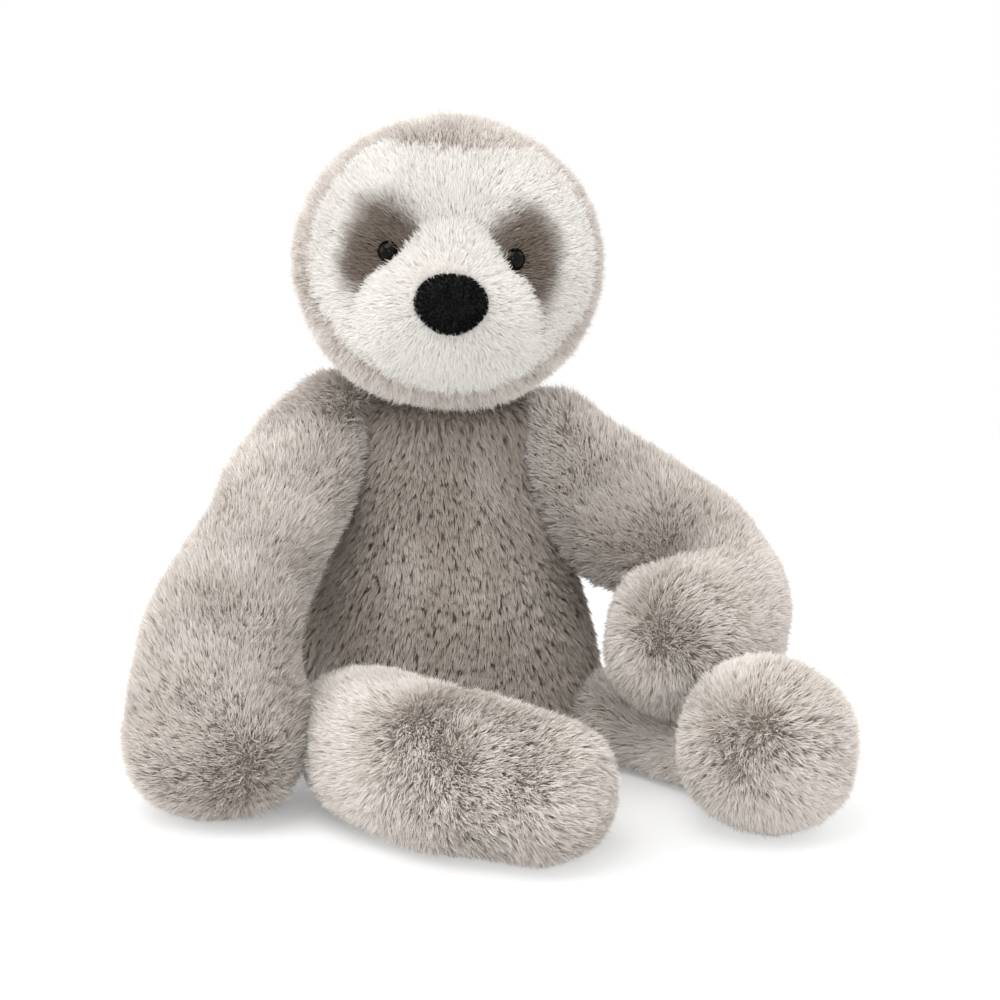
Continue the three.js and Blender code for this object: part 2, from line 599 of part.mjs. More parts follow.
function addHead() {
  const eyes = { right: eyePlace(-1), left: eyePlace(1) };
  const outside = headSolid(0, HEAD_SIDES).subtract(neckPocket(GAP));
  const inside = headSolid(PLUSH_THICKNESS, HEAD_INNER_SIDES).subtract(neckPocket(GAP + PLUSH_THICKNESS));
  const coreInset = PLUSH_THICKNESS + STUFFING_GAP;
  let core = headSolid(coreInset, HEAD_INNER_SIDES).subtract(neckPocket(GAP + coreInset));
  const seamFront = new THREE.Vector3(0, -Math.cos(FACE_SEAM_TILT), Math.sin(FACE_SEAM_TILT));
  const seamPoint = new THREE.Vector3(0, -FACE_SEAM_FORWARD, 0);
  const behindSeam = seamPoint.clone().addScaledVector(seamFront, -GAP);
  const shell = outside.subtract(inside);
  const up = new THREE.Vector3(0, 0, 1);
  const front = blockBeyond(seamPoint, seamFront)
    .intersect(blockBeyond(up.clone().multiplyScalar(FACE_TOP), up.clone().negate()));
  let face = shell.intersect(front);
  let muzzle = muzzleSolid();
  for (const place of Object.values(eyes)) {
    face = face.subtract(eyeHole(place));
    muzzle = muzzle.subtract(eyeHole(place));
    core = core.subtract(washerHollow(place));
  }
  const behind = blockBeyond(behindSeam, seamFront.clone().negate())
    .add(blockBeyond(up.clone().multiplyScalar(FACE_TOP + GAP), up));
  const cover = shell.intersect(behind);
  const toLeft = new THREE.Vector3(1, 0, 0);
  const half = toLeft.clone().multiplyScalar(GAP / 2);
  const coverLeft = cover.intersect(blockBeyond(half, toLeft));
  const coverRight = cover.intersect(blockBeyond(half.clone().negate(), toLeft.clone().negate()));
  addPart(headGroup, 'head_cover_left', coverLeft, PLUSH_GREY);
  addPart(headGroup, 'head_cover_right', coverRight, PLUSH_GREY);
  addPart(headGroup, 'face_panel', face, PLUSH_CREAM);
  addPart(headGroup, 'muzzle', muzzle, PLUSH_CREAM);
  addPart(headGroup, 'nose', noseSolid(0), NOSE_VELOUR);
  addPart(headGroup, 'head_stuffing', core, STUFFING_WHITE);
  for (const [side, place] of Object.entries(eyes)) {
    addPart(headGroup, `eye_${side}`, eyeShape(place), EYE_GLOSS);
    addPart(headGroup, `eye_washer_${side}`, washerShape(place), WASHER_PLASTIC);
  }
}

addBody();
addHead();
addLimb('arm_right', ['outer', 'inner'], rightArm());
addLimb('arm_left', ['inner', 'outer'], leftArm());
addLimb('leg_right', ['upper', 'lower'], rightLeg());
addLimb('leg_left', ['upper', 'lower'], leftLeg());

export default toy;
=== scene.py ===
"""Looks of a seated plush sloth: long-pile cloth over stuffing, a pale face, glossy eyes and a velour nose.

Shapes are worked out in millimetres in the toy's own frame: +Z up, the toy faces -Y, and left and
right are the toy's own. They become metres when a mesh is made.
"""

import logging
import math
from dataclasses import dataclass, field
from enum import Enum
from typing import Callable, Sequence

import bpy
import numpy as np
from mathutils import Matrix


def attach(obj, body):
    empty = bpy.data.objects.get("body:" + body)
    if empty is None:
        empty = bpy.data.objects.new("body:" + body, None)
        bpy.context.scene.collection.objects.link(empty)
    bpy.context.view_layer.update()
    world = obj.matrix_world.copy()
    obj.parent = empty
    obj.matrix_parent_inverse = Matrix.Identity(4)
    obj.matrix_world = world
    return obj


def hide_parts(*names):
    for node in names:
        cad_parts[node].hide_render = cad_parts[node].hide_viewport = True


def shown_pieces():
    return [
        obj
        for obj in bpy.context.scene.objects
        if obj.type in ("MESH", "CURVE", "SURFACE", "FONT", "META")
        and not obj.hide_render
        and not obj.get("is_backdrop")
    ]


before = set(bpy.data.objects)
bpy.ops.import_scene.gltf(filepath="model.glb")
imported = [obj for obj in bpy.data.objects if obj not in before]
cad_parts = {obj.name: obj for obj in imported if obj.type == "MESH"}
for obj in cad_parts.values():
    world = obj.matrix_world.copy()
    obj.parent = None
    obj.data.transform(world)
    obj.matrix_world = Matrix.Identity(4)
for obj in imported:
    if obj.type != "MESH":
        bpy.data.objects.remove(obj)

LOG = logging.getLogger("plush_sloth")
Array = np.ndarray
Node = bpy.types.Node
Object = bpy.types.Object
Material = bpy.types.Material
Triple = tuple[float, float, float]

MM = 0.001
UP = np.array([0.0, 0.0, 1.0])
# The way the whorls face: ahead and a little up
WHORL_WAY = np.array([0.0, -0.966, 0.259])
# The mesh map that tells a strand's tone and the place along it
TUFT_MAP = "OFBake"
# The least height of a panel's ground over the floor, in mm
GROUND_LOW = 2.0


# Small sums on arrays of points


def unit(vectors: Array) -> Array:
    """Scales the vectors along the last axis to length one."""
    return vectors / np.maximum(np.linalg.norm(vectors, axis=-1, keepdims=True), 1e-9)


def smooth_step(values: Array, low: float, high: float) -> Array:
    """Rises from 0 at low to 1 at high along 3t^2 - 2t^3. High may lie below low, for a fall."""
    t = np.clip((values - low) / (high - low), 0.0, 1.0)
    return t * t * (3.0 - 2.0 * t)


def flatten(vectors: Array, normals: Array) -> Array:
    """Lays vectors along a surface: takes away the part of each that is along its unit normal."""
    return vectors - normals * (vectors * normals).sum(-1, keepdims=True)


def down_rows(rows: int, columns: int) -> Array:
    """Share of the way from a grid's first row to its last."""
    return np.linspace(0, 1, rows)[:, None] + np.zeros(columns)


def waves(points: Array, size: float, seed: int, count: int = 6) -> Array:
    """Smooth noise: a mean of sines that run along seeded directions.

    Args:
        points: Points in mm.
        size: About how far it is from crest to crest, in mm.
        seed: Chooses the directions and phases.
        count: How many sines are added.

    Returns:
        One number for each point, mostly from -1 to 1.
    """
    rng = np.random.default_rng(seed)
    ways = unit(rng.normal(size=(count, 3))) * (2 * math.pi / size)
    ways *= rng.uniform(0.6, 1.5, (count, 1))
    phases = rng.uniform(0, 2 * math.pi, count)
    return np.sin(points @ ways.T + phases).sum(-1) * math.sqrt(1.2 / count)


def swirls(points: Array, size: float, seed: int) -> Array:
    """A smooth field of vectors at points in mm: waves of that size for each of X, Y and Z."""
    return np.stack([waves(points, size, seed + k) for k in range(3)], -1)


def curve_through(points: Array, places: Array) -> Array:
    """A smooth curve through points: on each stretch a cubic whose slope at a point is half the step
    between its neighbours.

    Args:
        points: The points, one in each row.
        places: Where to read the curve, from 0 at the first point to 1 at the last.

    Returns:
        A point for each place.
    """
    before = 2 * points[0] - points[1]
    after = 2 * points[-1] - points[-2]
    padded = np.vstack([before, points, after])
    along = np.clip(places, 0, 1) * (len(points) - 1)
    start = np.minimum(along.astype(int), len(points) - 2)
    t = (along - start)[:, None]
    a, b, c, d = (padded[start + k] for k in range(4))
    slope_b, slope_c = (c - a) / 2, (d - b) / 2
    return ((2 * t**3 - 3 * t**2 + 1) * b + (t**3 - 2 * t**2 + t) * slope_b
            + (3 * t**2 - 2 * t**3) * c + (t**3 - t**2) * slope_c)


def grid_normals(points: Array, inside: Array) -> Array:
    """Normals of a grid: the cross product of its steps along rows and columns, turned away from inside.

    Args:
        points: The grid, rows x columns x 3.
        inside: A point or points on the inner side, which spread over the grid.

    Returns:
        A unit normal for each point.
    """
    across = np.cross(np.gradient(points, axis=0), np.gradient(points, axis=1))
    out = np.sign((across * (points - inside)).sum())
    return unit(across * out)


def bisect(test: Callable[[Array], Array], low: Array, high: Array, steps: int = 30) -> Array:
    """Finds where a falling function crosses zero, for many at once.

    Args:
        test: Gives a number for each trial, above zero before the crossing.
        low: Trials before the crossing.
        high: Trials after it.
        steps: How many times the span is halved.

    Returns:
        The crossings.
    """
    for _ in range(steps):
        middle = (low + high) / 2
        before = test(middle) > 0
        low, high = np.where(before, middle, low), np.where(before, high, middle)
    return (low + high) / 2


# Colours and materials


def linear(hex_colour: str) -> tuple[float, float, float, float]:
    """Turns an sRGB hex colour to linear.

    Args:
        hex_colour: Such as "#b5aca5".

    Returns:
        Linear red, green, blue and an alpha of one.
    """
    parts = [int(hex_colour[k:k + 2], 16) / 255 for k in (1, 3, 5)]
    red, green, blue = (c / 12.92 if c <= 0.04045 else ((c + 0.055) / 1.055) ** 2.4 for c in parts)
    return (red, green, blue, 1.0)


def add_node(material: Material | bpy.types.World, kind: str, settings: dict | None = None,
             links: dict | None = None) -> Node:
    """Adds a shader node.

    Args:
        material: The material or world that it goes into.
        kind: The node's type, without "ShaderNode".
        settings: Attributes by name, and values of inputs by name or number after "in:".
        links: Output sockets by the name or number of the input that each feeds.

    Returns:
        The node.
    """
    node = material.node_tree.nodes.new("ShaderNode" + kind)
    for name, value in (settings or {}).items():
        if name.startswith("in:"):
            socket = name[3:]
            node.inputs[int(socket) if socket.isdigit() else socket].default_value = value
        else:
            setattr(node, name, value)
    for name, source in (links or {}).items():
        material.node_tree.links.new(source, node.inputs[name])
    return node


def new_material(name: str) -> Material:
    """Makes an empty node material.

    Args:
        name: The material's name.

    Returns:
        The material, with an output node alone.
    """
    material = bpy.data.materials.new(name)
    material.use_nodes = True
    material.node_tree.nodes.clear()
    add_node(material, "OutputMaterial")
    return material


def finish_surface(material: Material, shader: Node) -> Material:
    """Links a shader to the material's output.

    Args:
        material: The material.
        shader: Its last shader node.

    Returns:
        The material.
    """
    output = material.node_tree.nodes["Material Output"]
    material.node_tree.links.new(shader.outputs[0], output.inputs["Surface"])
    return material


def shade_ramp(material: Material, factor: bpy.types.NodeSocket,
               stops: Sequence[tuple[float, str]]) -> bpy.types.NodeSocket:
    """Adds a colour ramp.

    Args:
        material: What it goes into.
        factor: What runs along the ramp.
        stops: Places and hex colours along it.

    Returns:
        The ramp's colour output.
    """
    node = add_node(material, "ValToRGB", links={"Fac": factor})
    elements = node.color_ramp.elements
    while len(elements) < len(stops):
        elements.new(0.5)
    for element, (place, colour) in zip(elements, stops):
        element.position = place
        element.color = linear(colour)
    return node.outputs["Color"]


@dataclass(frozen=True)
class PileFinish:
    """Polyester plush pile. Each strand is painted from a dark root to a pale tip: painted shade deep in
    the pile, wherever the eye looks down between the tufts. A second ramp holds the strands' darkest
    tone, and the map's first coordinate says how far each strand leans to it: dye round the eyes,
    painted shade on the body and in the whorls, and random waves and streaks elsewhere."""

    name: str
    pale: tuple[tuple[float, str], ...]
    dark: tuple[tuple[float, str], ...]
    roughness: float = 0.85
    sheen: float = 0.25
    translucence: float = 0.2
    gloss: float = 0.2

    def build(self) -> Material:
        """Mixes the two ramps, root to tip, by the strand's tone. Light also comes through a strand.

        Returns:
            The material.
        """
        material = new_material(self.name)
        place = add_node(material, "UVMap", {"uv_map": TUFT_MAP})
        parts = add_node(material, "SeparateXYZ", links={0: place.outputs["UV"]})
        # Along each strand both ramps darken towards the root: painted shade deep in the pile
        pale = shade_ramp(material, parts.outputs["Y"], self.pale)
        dark = shade_ramp(material, parts.outputs["Y"], self.dark)
        mixed = add_node(material, "MixRGB",
                         links={"Fac": parts.outputs["X"], "Color1": pale, "Color2": dark})
        cloth = add_node(
            material, "BsdfPrincipled",
            {"in:Roughness": self.roughness, "in:Sheen Weight": self.sheen, "in:Sheen Roughness": 0.5,
             "in:Specular IOR Level": self.gloss},
            {"Base Color": mixed.outputs[0]})
        through = add_node(material, "BsdfTranslucent", links={"Color": mixed.outputs[0]})
        shader = add_node(material, "MixShader", {"in:0": self.translucence},
                          {1: cloth.outputs[0], 2: through.outputs[0]})
        return finish_surface(material, shader)


@dataclass(frozen=True)
class KnitFinish:
    """Knitted polyester backing cloth. It gives the eye an even ground where the pile parts, with fine
    courses of stitches about 0.9 mm apart, whose gaps are painted darker as shade. The map's first
    coordinate says how far it takes the pile's darkest tone: dye round the eyes, painted shade on the
    body and in the whorls, and random waves and streaks elsewhere."""

    name: str
    thread: str
    gap: str
    dye_and_shade: str
    course: float = 0.9

    def build(self) -> Material:
        """Colours the stitches by two crossed waves in Object coordinates.

        Returns:
            The material.
        """
        material = new_material(self.name)
        place = add_node(material, "TexCoord")
        # A wave texture of scale one has a band each 0.314 units
        scale = 0.314 / (self.course * MM)
        knit = [add_node(material, "TexWave",
                         {"bands_direction": direction, "in:Scale": scale, "in:Distortion": 1.5},
                         {"Vector": place.outputs["Object"]}) for direction in ("X", "Z")]
        cross = add_node(material, "Math", {"operation": "MULTIPLY"},
                         {0: knit[0].outputs["Fac"], 1: knit[1].outputs["Fac"]})
        # The gaps between stitches are painted darker: painted shade, on the same pattern that the bump sinks
        plain = shade_ramp(material, cross.outputs[0], [(0.1, self.gap), (0.7, self.thread)])
        # The map's first coordinate mixes in the darkest tone: dye round the eyes, painted shade on the body
        # and whorls
        spot = add_node(material, "UVMap", {"uv_map": TUFT_MAP})
        parts = add_node(material, "SeparateXYZ", links={0: spot.outputs["UV"]})
        mixed = add_node(material, "MixRGB", {"in:Color2": linear(self.dye_and_shade)},
                         {"Fac": parts.outputs["X"], "Color1": plain})
        bump = add_node(material, "Bump", {"in:Strength": 0.4, "in:Distance": 0.0003},
                        {"Height": cross.outputs[0]})
        shader = add_node(material, "BsdfPrincipled", {"in:Roughness": 0.95},
                          {"Base Color": mixed.outputs[0], "Normal": bump.outputs[0]})
        return finish_surface(material, shader)


@dataclass(frozen=True)
class FillFinish:
    """Loose polyester fibre fill: white, lumpy and matt, with soft creases between the tufts of fibre,
    about 14 mm apart, which are painted greyer as shade, and fine fibres about 1 mm apart."""

    name: str
    high: str
    low: str
    tuft: float = 14.0
    fibre: float = 1.0

    def build(self) -> Material:
        """Colours and raises the surface by a coarse and a fine noise in Object coordinates.

        Returns:
            The material.
        """
        material = new_material(self.name)
        place = add_node(material, "TexCoord").outputs["Object"]
        tufts = add_node(material, "TexNoise", {"in:Scale": 1 / (self.tuft * MM), "in:Detail": 4.0},
                         {"Vector": place})
        fibres = add_node(material, "TexNoise",
                          {"in:Scale": 1 / (self.fibre * MM), "in:Detail": 2.0, "in:Distortion": 1.5},
                          {"Vector": place})
        # Painted shade: the coarse noise that sinks the creases in the bump below also greys them
        colour = shade_ramp(material, tufts.outputs["Fac"], [(0.3, self.low), (0.6, self.high)])
        height = add_node(material, "Math", {"operation": "MULTIPLY_ADD", "in:1": 0.25},
                          {0: fibres.outputs["Fac"], 2: tufts.outputs["Fac"]})
        bump = add_node(material, "Bump", {"in:Strength": 0.6, "in:Distance": 0.002},
                        {"Height": height.outputs[0]})
        shader = add_node(material, "BsdfPrincipled", {"in:Roughness": 1.0},
                          {"Base Color": colour, "Normal": bump.outputs[0]})
        return finish_surface(material, shader)


@dataclass(frozen=True)
class MouldedFinish:
    """Injection-moulded plastic. A polished eye gives the eye one sharp highlight over a deep brown that a
    faint noise mottles with a darker one, and a washer is plain and half matt."""

    name: str
    middle: str
    rim: str
    roughness: float
    coat: float = 0.0
    gloss: float = 0.5
    grain: float = 0.6

    def build(self) -> Material:
        """Mixes the two colours by a faint noise, under one smooth coat.

        Returns:
            The material.
        """
        material = new_material(self.name)
        place = add_node(material, "TexCoord").outputs["Object"]
        noise = add_node(material, "TexNoise", {"in:Scale": 1 / (self.grain * MM), "in:Detail": 2.0},
                         {"Vector": place})
        colour = shade_ramp(material, noise.outputs["Fac"], [(0.35, self.rim), (0.7, self.middle)])
        shader = add_node(
            material, "BsdfPrincipled",
            {"in:Roughness": self.roughness, "in:Coat Weight": self.coat, "in:Coat Roughness": 0.03,
             "in:Specular IOR Level": self.gloss},
            {"Base Color": colour})
        return finish_surface(material, shader)


class Pile(Enum):
    """The cloths that the toy is cut from."""

    GREY = "plush_grey"
    CREAM = "plush_cream"
    VELOUR = "nose_velour"


class Wardrobe:
    """Makes each finish once and hands it out."""

    # Each ramp runs from root to tip and is darker at the root: painted shade deep in the pile
    piles = {
        Pile.GREY: PileFinish(
            "Taupe polyester plush pile",
            pale=((0.0, "#cfc4bb"), (0.35, "#ded6cf"), (0.7, "#ebe5e0"), (1.0, "#f4f0ec")),
            dark=((0.0, "#908378"), (0.35, "#a2968b"), (0.7, "#b4a99f"), (1.0, "#c5bcb3"))),
        Pile.CREAM: PileFinish(
            "Cream polyester plush pile, airbrushed round the eyes",
            pale=((0.0, "#eeebe8"), (0.35, "#f2efec"), (0.7, "#f5f3f0"), (1.0, "#f9f7f5")),
            dark=((0.0, "#5a4b3d"), (0.35, "#68594b"), (0.7, "#7a6b5e"), (1.0, "#988b7f")),
            translucence=0.35),
        Pile.VELOUR: PileFinish(
            "Black polyester velour",
            pale=((0.0, "#080708"), (0.5, "#0b0a0b"), (1.0, "#141214")),
            dark=((0.0, "#050405"), (0.5, "#080708"), (1.0, "#0d0b0d")),
            sheen=0.0, translucence=0.0, gloss=0.08),
    }
    grounds = {
        # The taupe backing is darker than its pile: painted shade where the pile parts
        Pile.GREY: KnitFinish("Taupe knitted backing", "#c4b8ae", "#ada197", "#8f8278"),
        Pile.CREAM: KnitFinish("Cream knitted backing", "#eeebe7", "#e8e3de", "#5c4e42"),
        Pile.VELOUR: KnitFinish("Black knitted backing", "#121112", "#080808", "#080808"),
    }

    def __init__(self) -> None:
        """Builds the materials."""
        self.pile = {kind: finish.build() for kind, finish in self.piles.items()}
        self.ground = {kind: finish.build() for kind, finish in self.grounds.items()}
        pouch = KnitFinish("Unbleached cotton pouch cloth", "#e2dccf", "#c9c1b0", "#c9c1b0", course=0.8)
        self.fills = {
            "stuffing": FillFinish("White polyester fibre fill", "#f6f5f2", "#dcdad4").build(),
            "pouch_cloth": pouch.build()}
        self.eye = MouldedFinish("Polished dark brown safety eye", "#0e0805", "#040202",
                                 roughness=0.06, coat=0.22, gloss=0.03).build()
        self.washer = MouldedFinish("Moulded polyethylene washer", "#eeeeea", "#e2e2dd",
                                    roughness=0.45).build()


# Meshes


def make_mesh(name: str, points: Array, faces: Sequence[Array], materials: Sequence[Material],
              slots: Array | None = None, uvs: Array | None = None) -> Object:
    """Makes a mesh object from arrays.

    Args:
        name: The piece's name.
        points: Points in mm.
        faces: Arrays of corners, of three or four columns each.
        materials: The piece's materials.
        slots: The material's number for each face, or None for the first.
        uvs: A place on the tuft map for each point.

    Returns:
        The object, linked to the scene, at the origin.
    """
    corners = np.concatenate([f.ravel() for f in faces])
    sizes = np.concatenate([np.full(len(f), f.shape[1]) for f in faces])
    starts = np.concatenate([[0], np.cumsum(sizes)[:-1]])
    mesh = bpy.data.meshes.new(name)
    mesh.vertices.add(len(points))
    mesh.vertices.foreach_set("co", (points * MM).astype(np.float32).ravel())
    mesh.loops.add(len(corners))
    mesh.loops.foreach_set("vertex_index", corners.astype(np.int32))
    mesh.polygons.add(len(sizes))
    mesh.polygons.foreach_set("loop_start", starts.astype(np.int32))
    if slots is not None:
        mesh.polygons.foreach_set("material_index", slots.astype(np.int32))
    mesh.polygons.foreach_set("use_smooth", np.ones(len(sizes), dtype=bool))
    if uvs is not None:
        layer = mesh.uv_layers.new(name=TUFT_MAP)
        layer.data.foreach_set("uv", uvs[corners].astype(np.float32).ravel())
    mesh.update(calc_edges=True)
    for material in materials:
        mesh.materials.append(material)
    piece = bpy.data.objects.new(name, mesh)
    bpy.context.collection.objects.link(piece)
    return piece


def grid_faces(rows: int, columns: int, wrap: bool = False, first: int = 0) -> Array:
    """Corners of the squares of a grid.

    Args:
        rows: How many rows of points.
        columns: How many columns.
        wrap: Whether the last column joins the first.
        first: The number of the grid's first point.

    Returns:
        Four corners for each square.
    """
    numbers = first + np.arange(rows * columns).reshape(rows, columns)
    if wrap:
        numbers = np.concatenate([numbers, numbers[:, :1]], 1)
    corners = [numbers[:-1, :-1], numbers[:-1, 1:], numbers[1:, 1:], numbers[1:, :-1]]
    return np.stack(corners, -1).reshape(-1, 4)


def shell(outer: Array, inner: Array, normals: Array) -> tuple[Array, Array]:
    """A closed sheet of cloth: the outer grid, the inner one turned round, and a strip along each edge.

    Args:
        outer: The outer face, rows x columns x 3.
        inner: The inner face.
        normals: Normals of the outer face.

    Returns:
        Points and faces of four corners.
    """
    rows, columns = outer.shape[:2]
    size = rows * columns
    front = grid_faces(rows, columns)
    numbers = np.arange(size).reshape(rows, columns)
    ring = np.concatenate([numbers[0, :-1], numbers[:-1, -1], numbers[-1, :0:-1], numbers[:0:-1, 0]])
    after = np.roll(ring, -1)
    edge = np.stack([after, ring, ring + size, after + size], -1)
    faces = np.concatenate([front, front[:, ::-1] + size, edge])
    across = np.cross(np.gradient(outer, axis=0), np.gradient(outer, axis=1))
    if (across * normals).sum() > 0:
        faces = faces[:, ::-1]
    return np.concatenate([outer.reshape(-1, 3), inner.reshape(-1, 3)]), faces


def closed_grid(points: Array) -> tuple[Array, list[Array]]:
    """Closes a grid of rings: its columns join up, and its first and last rows shrink to a point.

    Args:
        points: Rings of points, rows x columns x 3.

    Returns:
        Points, and faces of four and of three corners that look outwards.
    """
    rows, columns = points.shape[:2]
    body = grid_faces(rows, columns, wrap=True)
    ring = np.arange(columns)
    after = np.roll(ring, -1)
    last = (rows - 1) * columns
    start = np.stack([np.full(columns, rows * columns), after, ring], -1)
    end = np.stack([np.full(columns, rows * columns + 1), last + ring, last + after], -1)
    all_points = np.concatenate([points.reshape(-1, 3), [points[0].mean(0)], [points[-1].mean(0)]])
    a, b, c, d = (all_points[body[:, k]] for k in range(4))
    middle = all_points.mean(0)
    outward = (np.cross(c - a, d - b) * (a - middle)).sum()
    faces = [body, start, end]
    return all_points, faces if outward > 0 else [f[:, ::-1] for f in faces]


# Pile


@dataclass(frozen=True)
class Coat:
    """How a cloth's pile grows. Lengths are in mm.

    Spread and gather say how far strands stand from their tuft's root and how much of that they make
    up towards its tip. Wander is how unevenly tufts lean, stray how unevenly their strands do, and
    mottle how uneven the tone is. Shares of the length and width lie between two values, and a
    few strands are long ones. Where pile is crowded, so that another part leaves it less than
    that share of its length, only a share of the tufts grow. Strands stay over the floor by the
    floor's gap and a random share of its spread."""

    pile: Pile
    length: float
    root: float
    width: float = 0.5
    tufts_per_cm2: float = 29.0
    strands: int = 12
    spread: float = 1.5
    gather: float = 0.3
    stray: float = 0.2
    mottle: float = 0.08
    backing: float = 1.2
    wander: float = 0.16
    tuft_lengths: tuple[float, float] = (0.86, 1.08)
    strand_lengths: tuple[float, float] = (0.78, 1.06)
    widths: tuple[float, float] = (0.75, 1.25)
    long_share: float = 0.03
    long_by: float = 1.18
    crowded: float = 0.6
    crowded_share: float = 0.4
    floor_gap: float = 0.15
    floor_spread: float = 0.25


@dataclass
class Cloth:
    """A panel's ground on a grid: where the pile is rooted, and how it lies there.

    The lean is a vector along the cloth: none for pile that stands up, one for a strand whose tip
    lies over by 45 degrees. Reach is the share of the coat's length, tone is how dark the
    strands are, from 0 to 1, and keep is the share of the tufts that grow."""

    points: Array
    normals: Array
    lean: Array
    reach: Array
    tone: Array
    keep: Array


def cell_areas(points: Array) -> Array:
    """Area of each square of a grid: half the cross product of its diagonals.

    Args:
        points: The grid, rows x columns x 3.

    Returns:
        One area for each square.
    """
    across = points[1:, 1:] - points[:-1, :-1]
    other = points[1:, :-1] - points[:-1, 1:]
    return np.linalg.norm(np.cross(across, other), axis=-1) / 2


def between(values: Array, row: Array, column: Array, u: Array, v: Array) -> Array:
    """Reads a grid between its points: the weighted mean of each square's four corners.

    Args:
        values: The grid, with or without a last axis of parts.
        row: The square's row.
        column: The square's column.
        u: Share of the way to the next row.
        v: Share of the way to the next column.

    Returns:
        One value for each place.
    """
    if values.ndim == 3:
        u, v = u[:, None], v[:, None]
    top = values[row, column] * (1 - v) + values[row, column + 1] * v
    low = values[row + 1, column] * (1 - v) + values[row + 1, column + 1] * v
    return top * (1 - u) + low * u


def tone_place(tone: Array) -> Array:
    """Place across the tuft map for a tone from 0 to 1, a little inside the map's edges."""
    return 0.01 + 0.98 * np.clip(tone, 0, 1)


def plant_tufts(cloth: Cloth, coat: Coat, rng: np.random.Generator,
                pressed: Callable[[Array], Array]) -> tuple[Array, ...]:
    """Spreads tufts by area, one in each equal share of it, and leans them.

    Args:
        cloth: The ground.
        coat: The pile that grows on it.
        rng: Chooses the tufts.
        pressed: Gives the share of its length that a strand keeps, from where its tip would be.

    Returns:
        Roots, normals, leans, lengths and tones of the tufts.
    """
    thin = 1.0
    keep = cloth.keep
    corners_keep = (keep[:-1, :-1] + keep[1:, 1:] + keep[1:, :-1] + keep[:-1, 1:]) / 4
    weights = np.cumsum((cell_areas(cloth.points) * corners_keep).ravel())
    count = int(weights[-1] / 100 * coat.tufts_per_cm2 * thin)
    picked = np.searchsorted(weights, (np.arange(count) + rng.random(count)) / count * weights[-1])
    picked = np.minimum(picked, len(weights) - 1)
    row, column = np.divmod(picked, cloth.points.shape[1] - 1)
    u, v = rng.random(count), rng.random(count)
    root, normal, lean, reach, tone = (
        between(grid, row, column, u, v)
        for grid in (cloth.points, cloth.normals, cloth.lean, cloth.reach, cloth.tone))
    normal = unit(normal)
    lean = flatten(lean + rng.normal(size=(count, 3)) * coat.wander, normal)
    length = coat.length * reach * rng.uniform(*coat.tuft_lengths, count)
    kept = pressed(root + unit(normal + lean) * length[:, None])
    length *= kept
    lean *= (1 + 1.2 * (1 - kept))[:, None]
    stay = (kept > coat.crowded) | (rng.random(count) < coat.crowded_share)
    return tuple(values[stay] for values in (root, normal, lean, length, tone))


def grow_pile(cloth: Cloth, coat: Coat, seed: int,
              pressed: Callable[[Array], Array]) -> tuple[Array, Array, Array]:
    """Grows the strands of each tuft. A strand starts beside its tuft's root and its tip is drawn
    towards the tuft's tip. It bends once: the first half leans half as far as the tuft, the second
    one and a half times. It is a flat kite, widest at its middle, and turns its flat side outward
    where it leans.

    Args:
        cloth: The ground.
        coat: The pile that grows on it.
        seed: Chooses the strands.
        pressed: Gives the share of its length that a strand keeps, from where its tip would be.

    Returns:
        Points, triangles and places on the tuft map.
    """
    rng = np.random.default_rng(seed)
    per = coat.strands
    root, normal, lean, length, tone = (
        np.repeat(values, per, axis=0) for values in plant_tufts(cloth, coat, rng, pressed))
    total = len(root)
    offset = flatten(rng.normal(size=(total, 3)) * coat.spread * 0.6, normal)
    own = flatten(rng.normal(size=(total, 3)) * coat.stray, normal)
    length = length * rng.uniform(*coat.strand_lengths, total)
    length *= np.where(rng.random(total) < coat.long_share, coat.long_by, 1.0)
    start = root + offset
    drawn = -offset * coat.gather
    first = unit(normal + 0.5 * lean + 0.5 * own)
    second = unit(normal + 1.5 * lean + own)
    half = (0.5 * length)[:, None]
    middle = start + first * half + drawn * 0.4
    end = middle + second * half + drawn * 0.6
    side = unit(np.cross(lean, normal) + 0.4 * np.cross(first, rng.normal(size=(total, 3))))
    width = coat.width * 1.0 * rng.uniform(*coat.widths, total)[:, None] / 2
    points = np.stack([start, middle - side * width, middle + side * width, end], 1)
    floor = coat.floor_gap + coat.floor_spread * rng.random(total)[:, None]
    points[..., 2] = np.maximum(points[..., 2], floor)
    first_point = (np.arange(total) * 4)[:, None]
    triangles = np.concatenate([first_point + np.array(t) for t in ([0, 1, 2], [2, 1, 3])])
    tone = tone + (rng.normal(size=total) + np.repeat(rng.normal(size=total // per), per)) * coat.mottle
    uvs = np.zeros((total, 4, 2))
    uvs[..., 0] = tone_place(tone)[:, None] + np.array([0.0, -0.002, 0.002, 0.0])
    # Place along the strand on the ramps, which are painted darker towards the root as shade deep in the pile
    uvs[..., 1] = np.array([0.06, 0.5, 0.5, 0.99])
    return points.reshape(-1, 3), triangles, uvs.reshape(-1, 2)


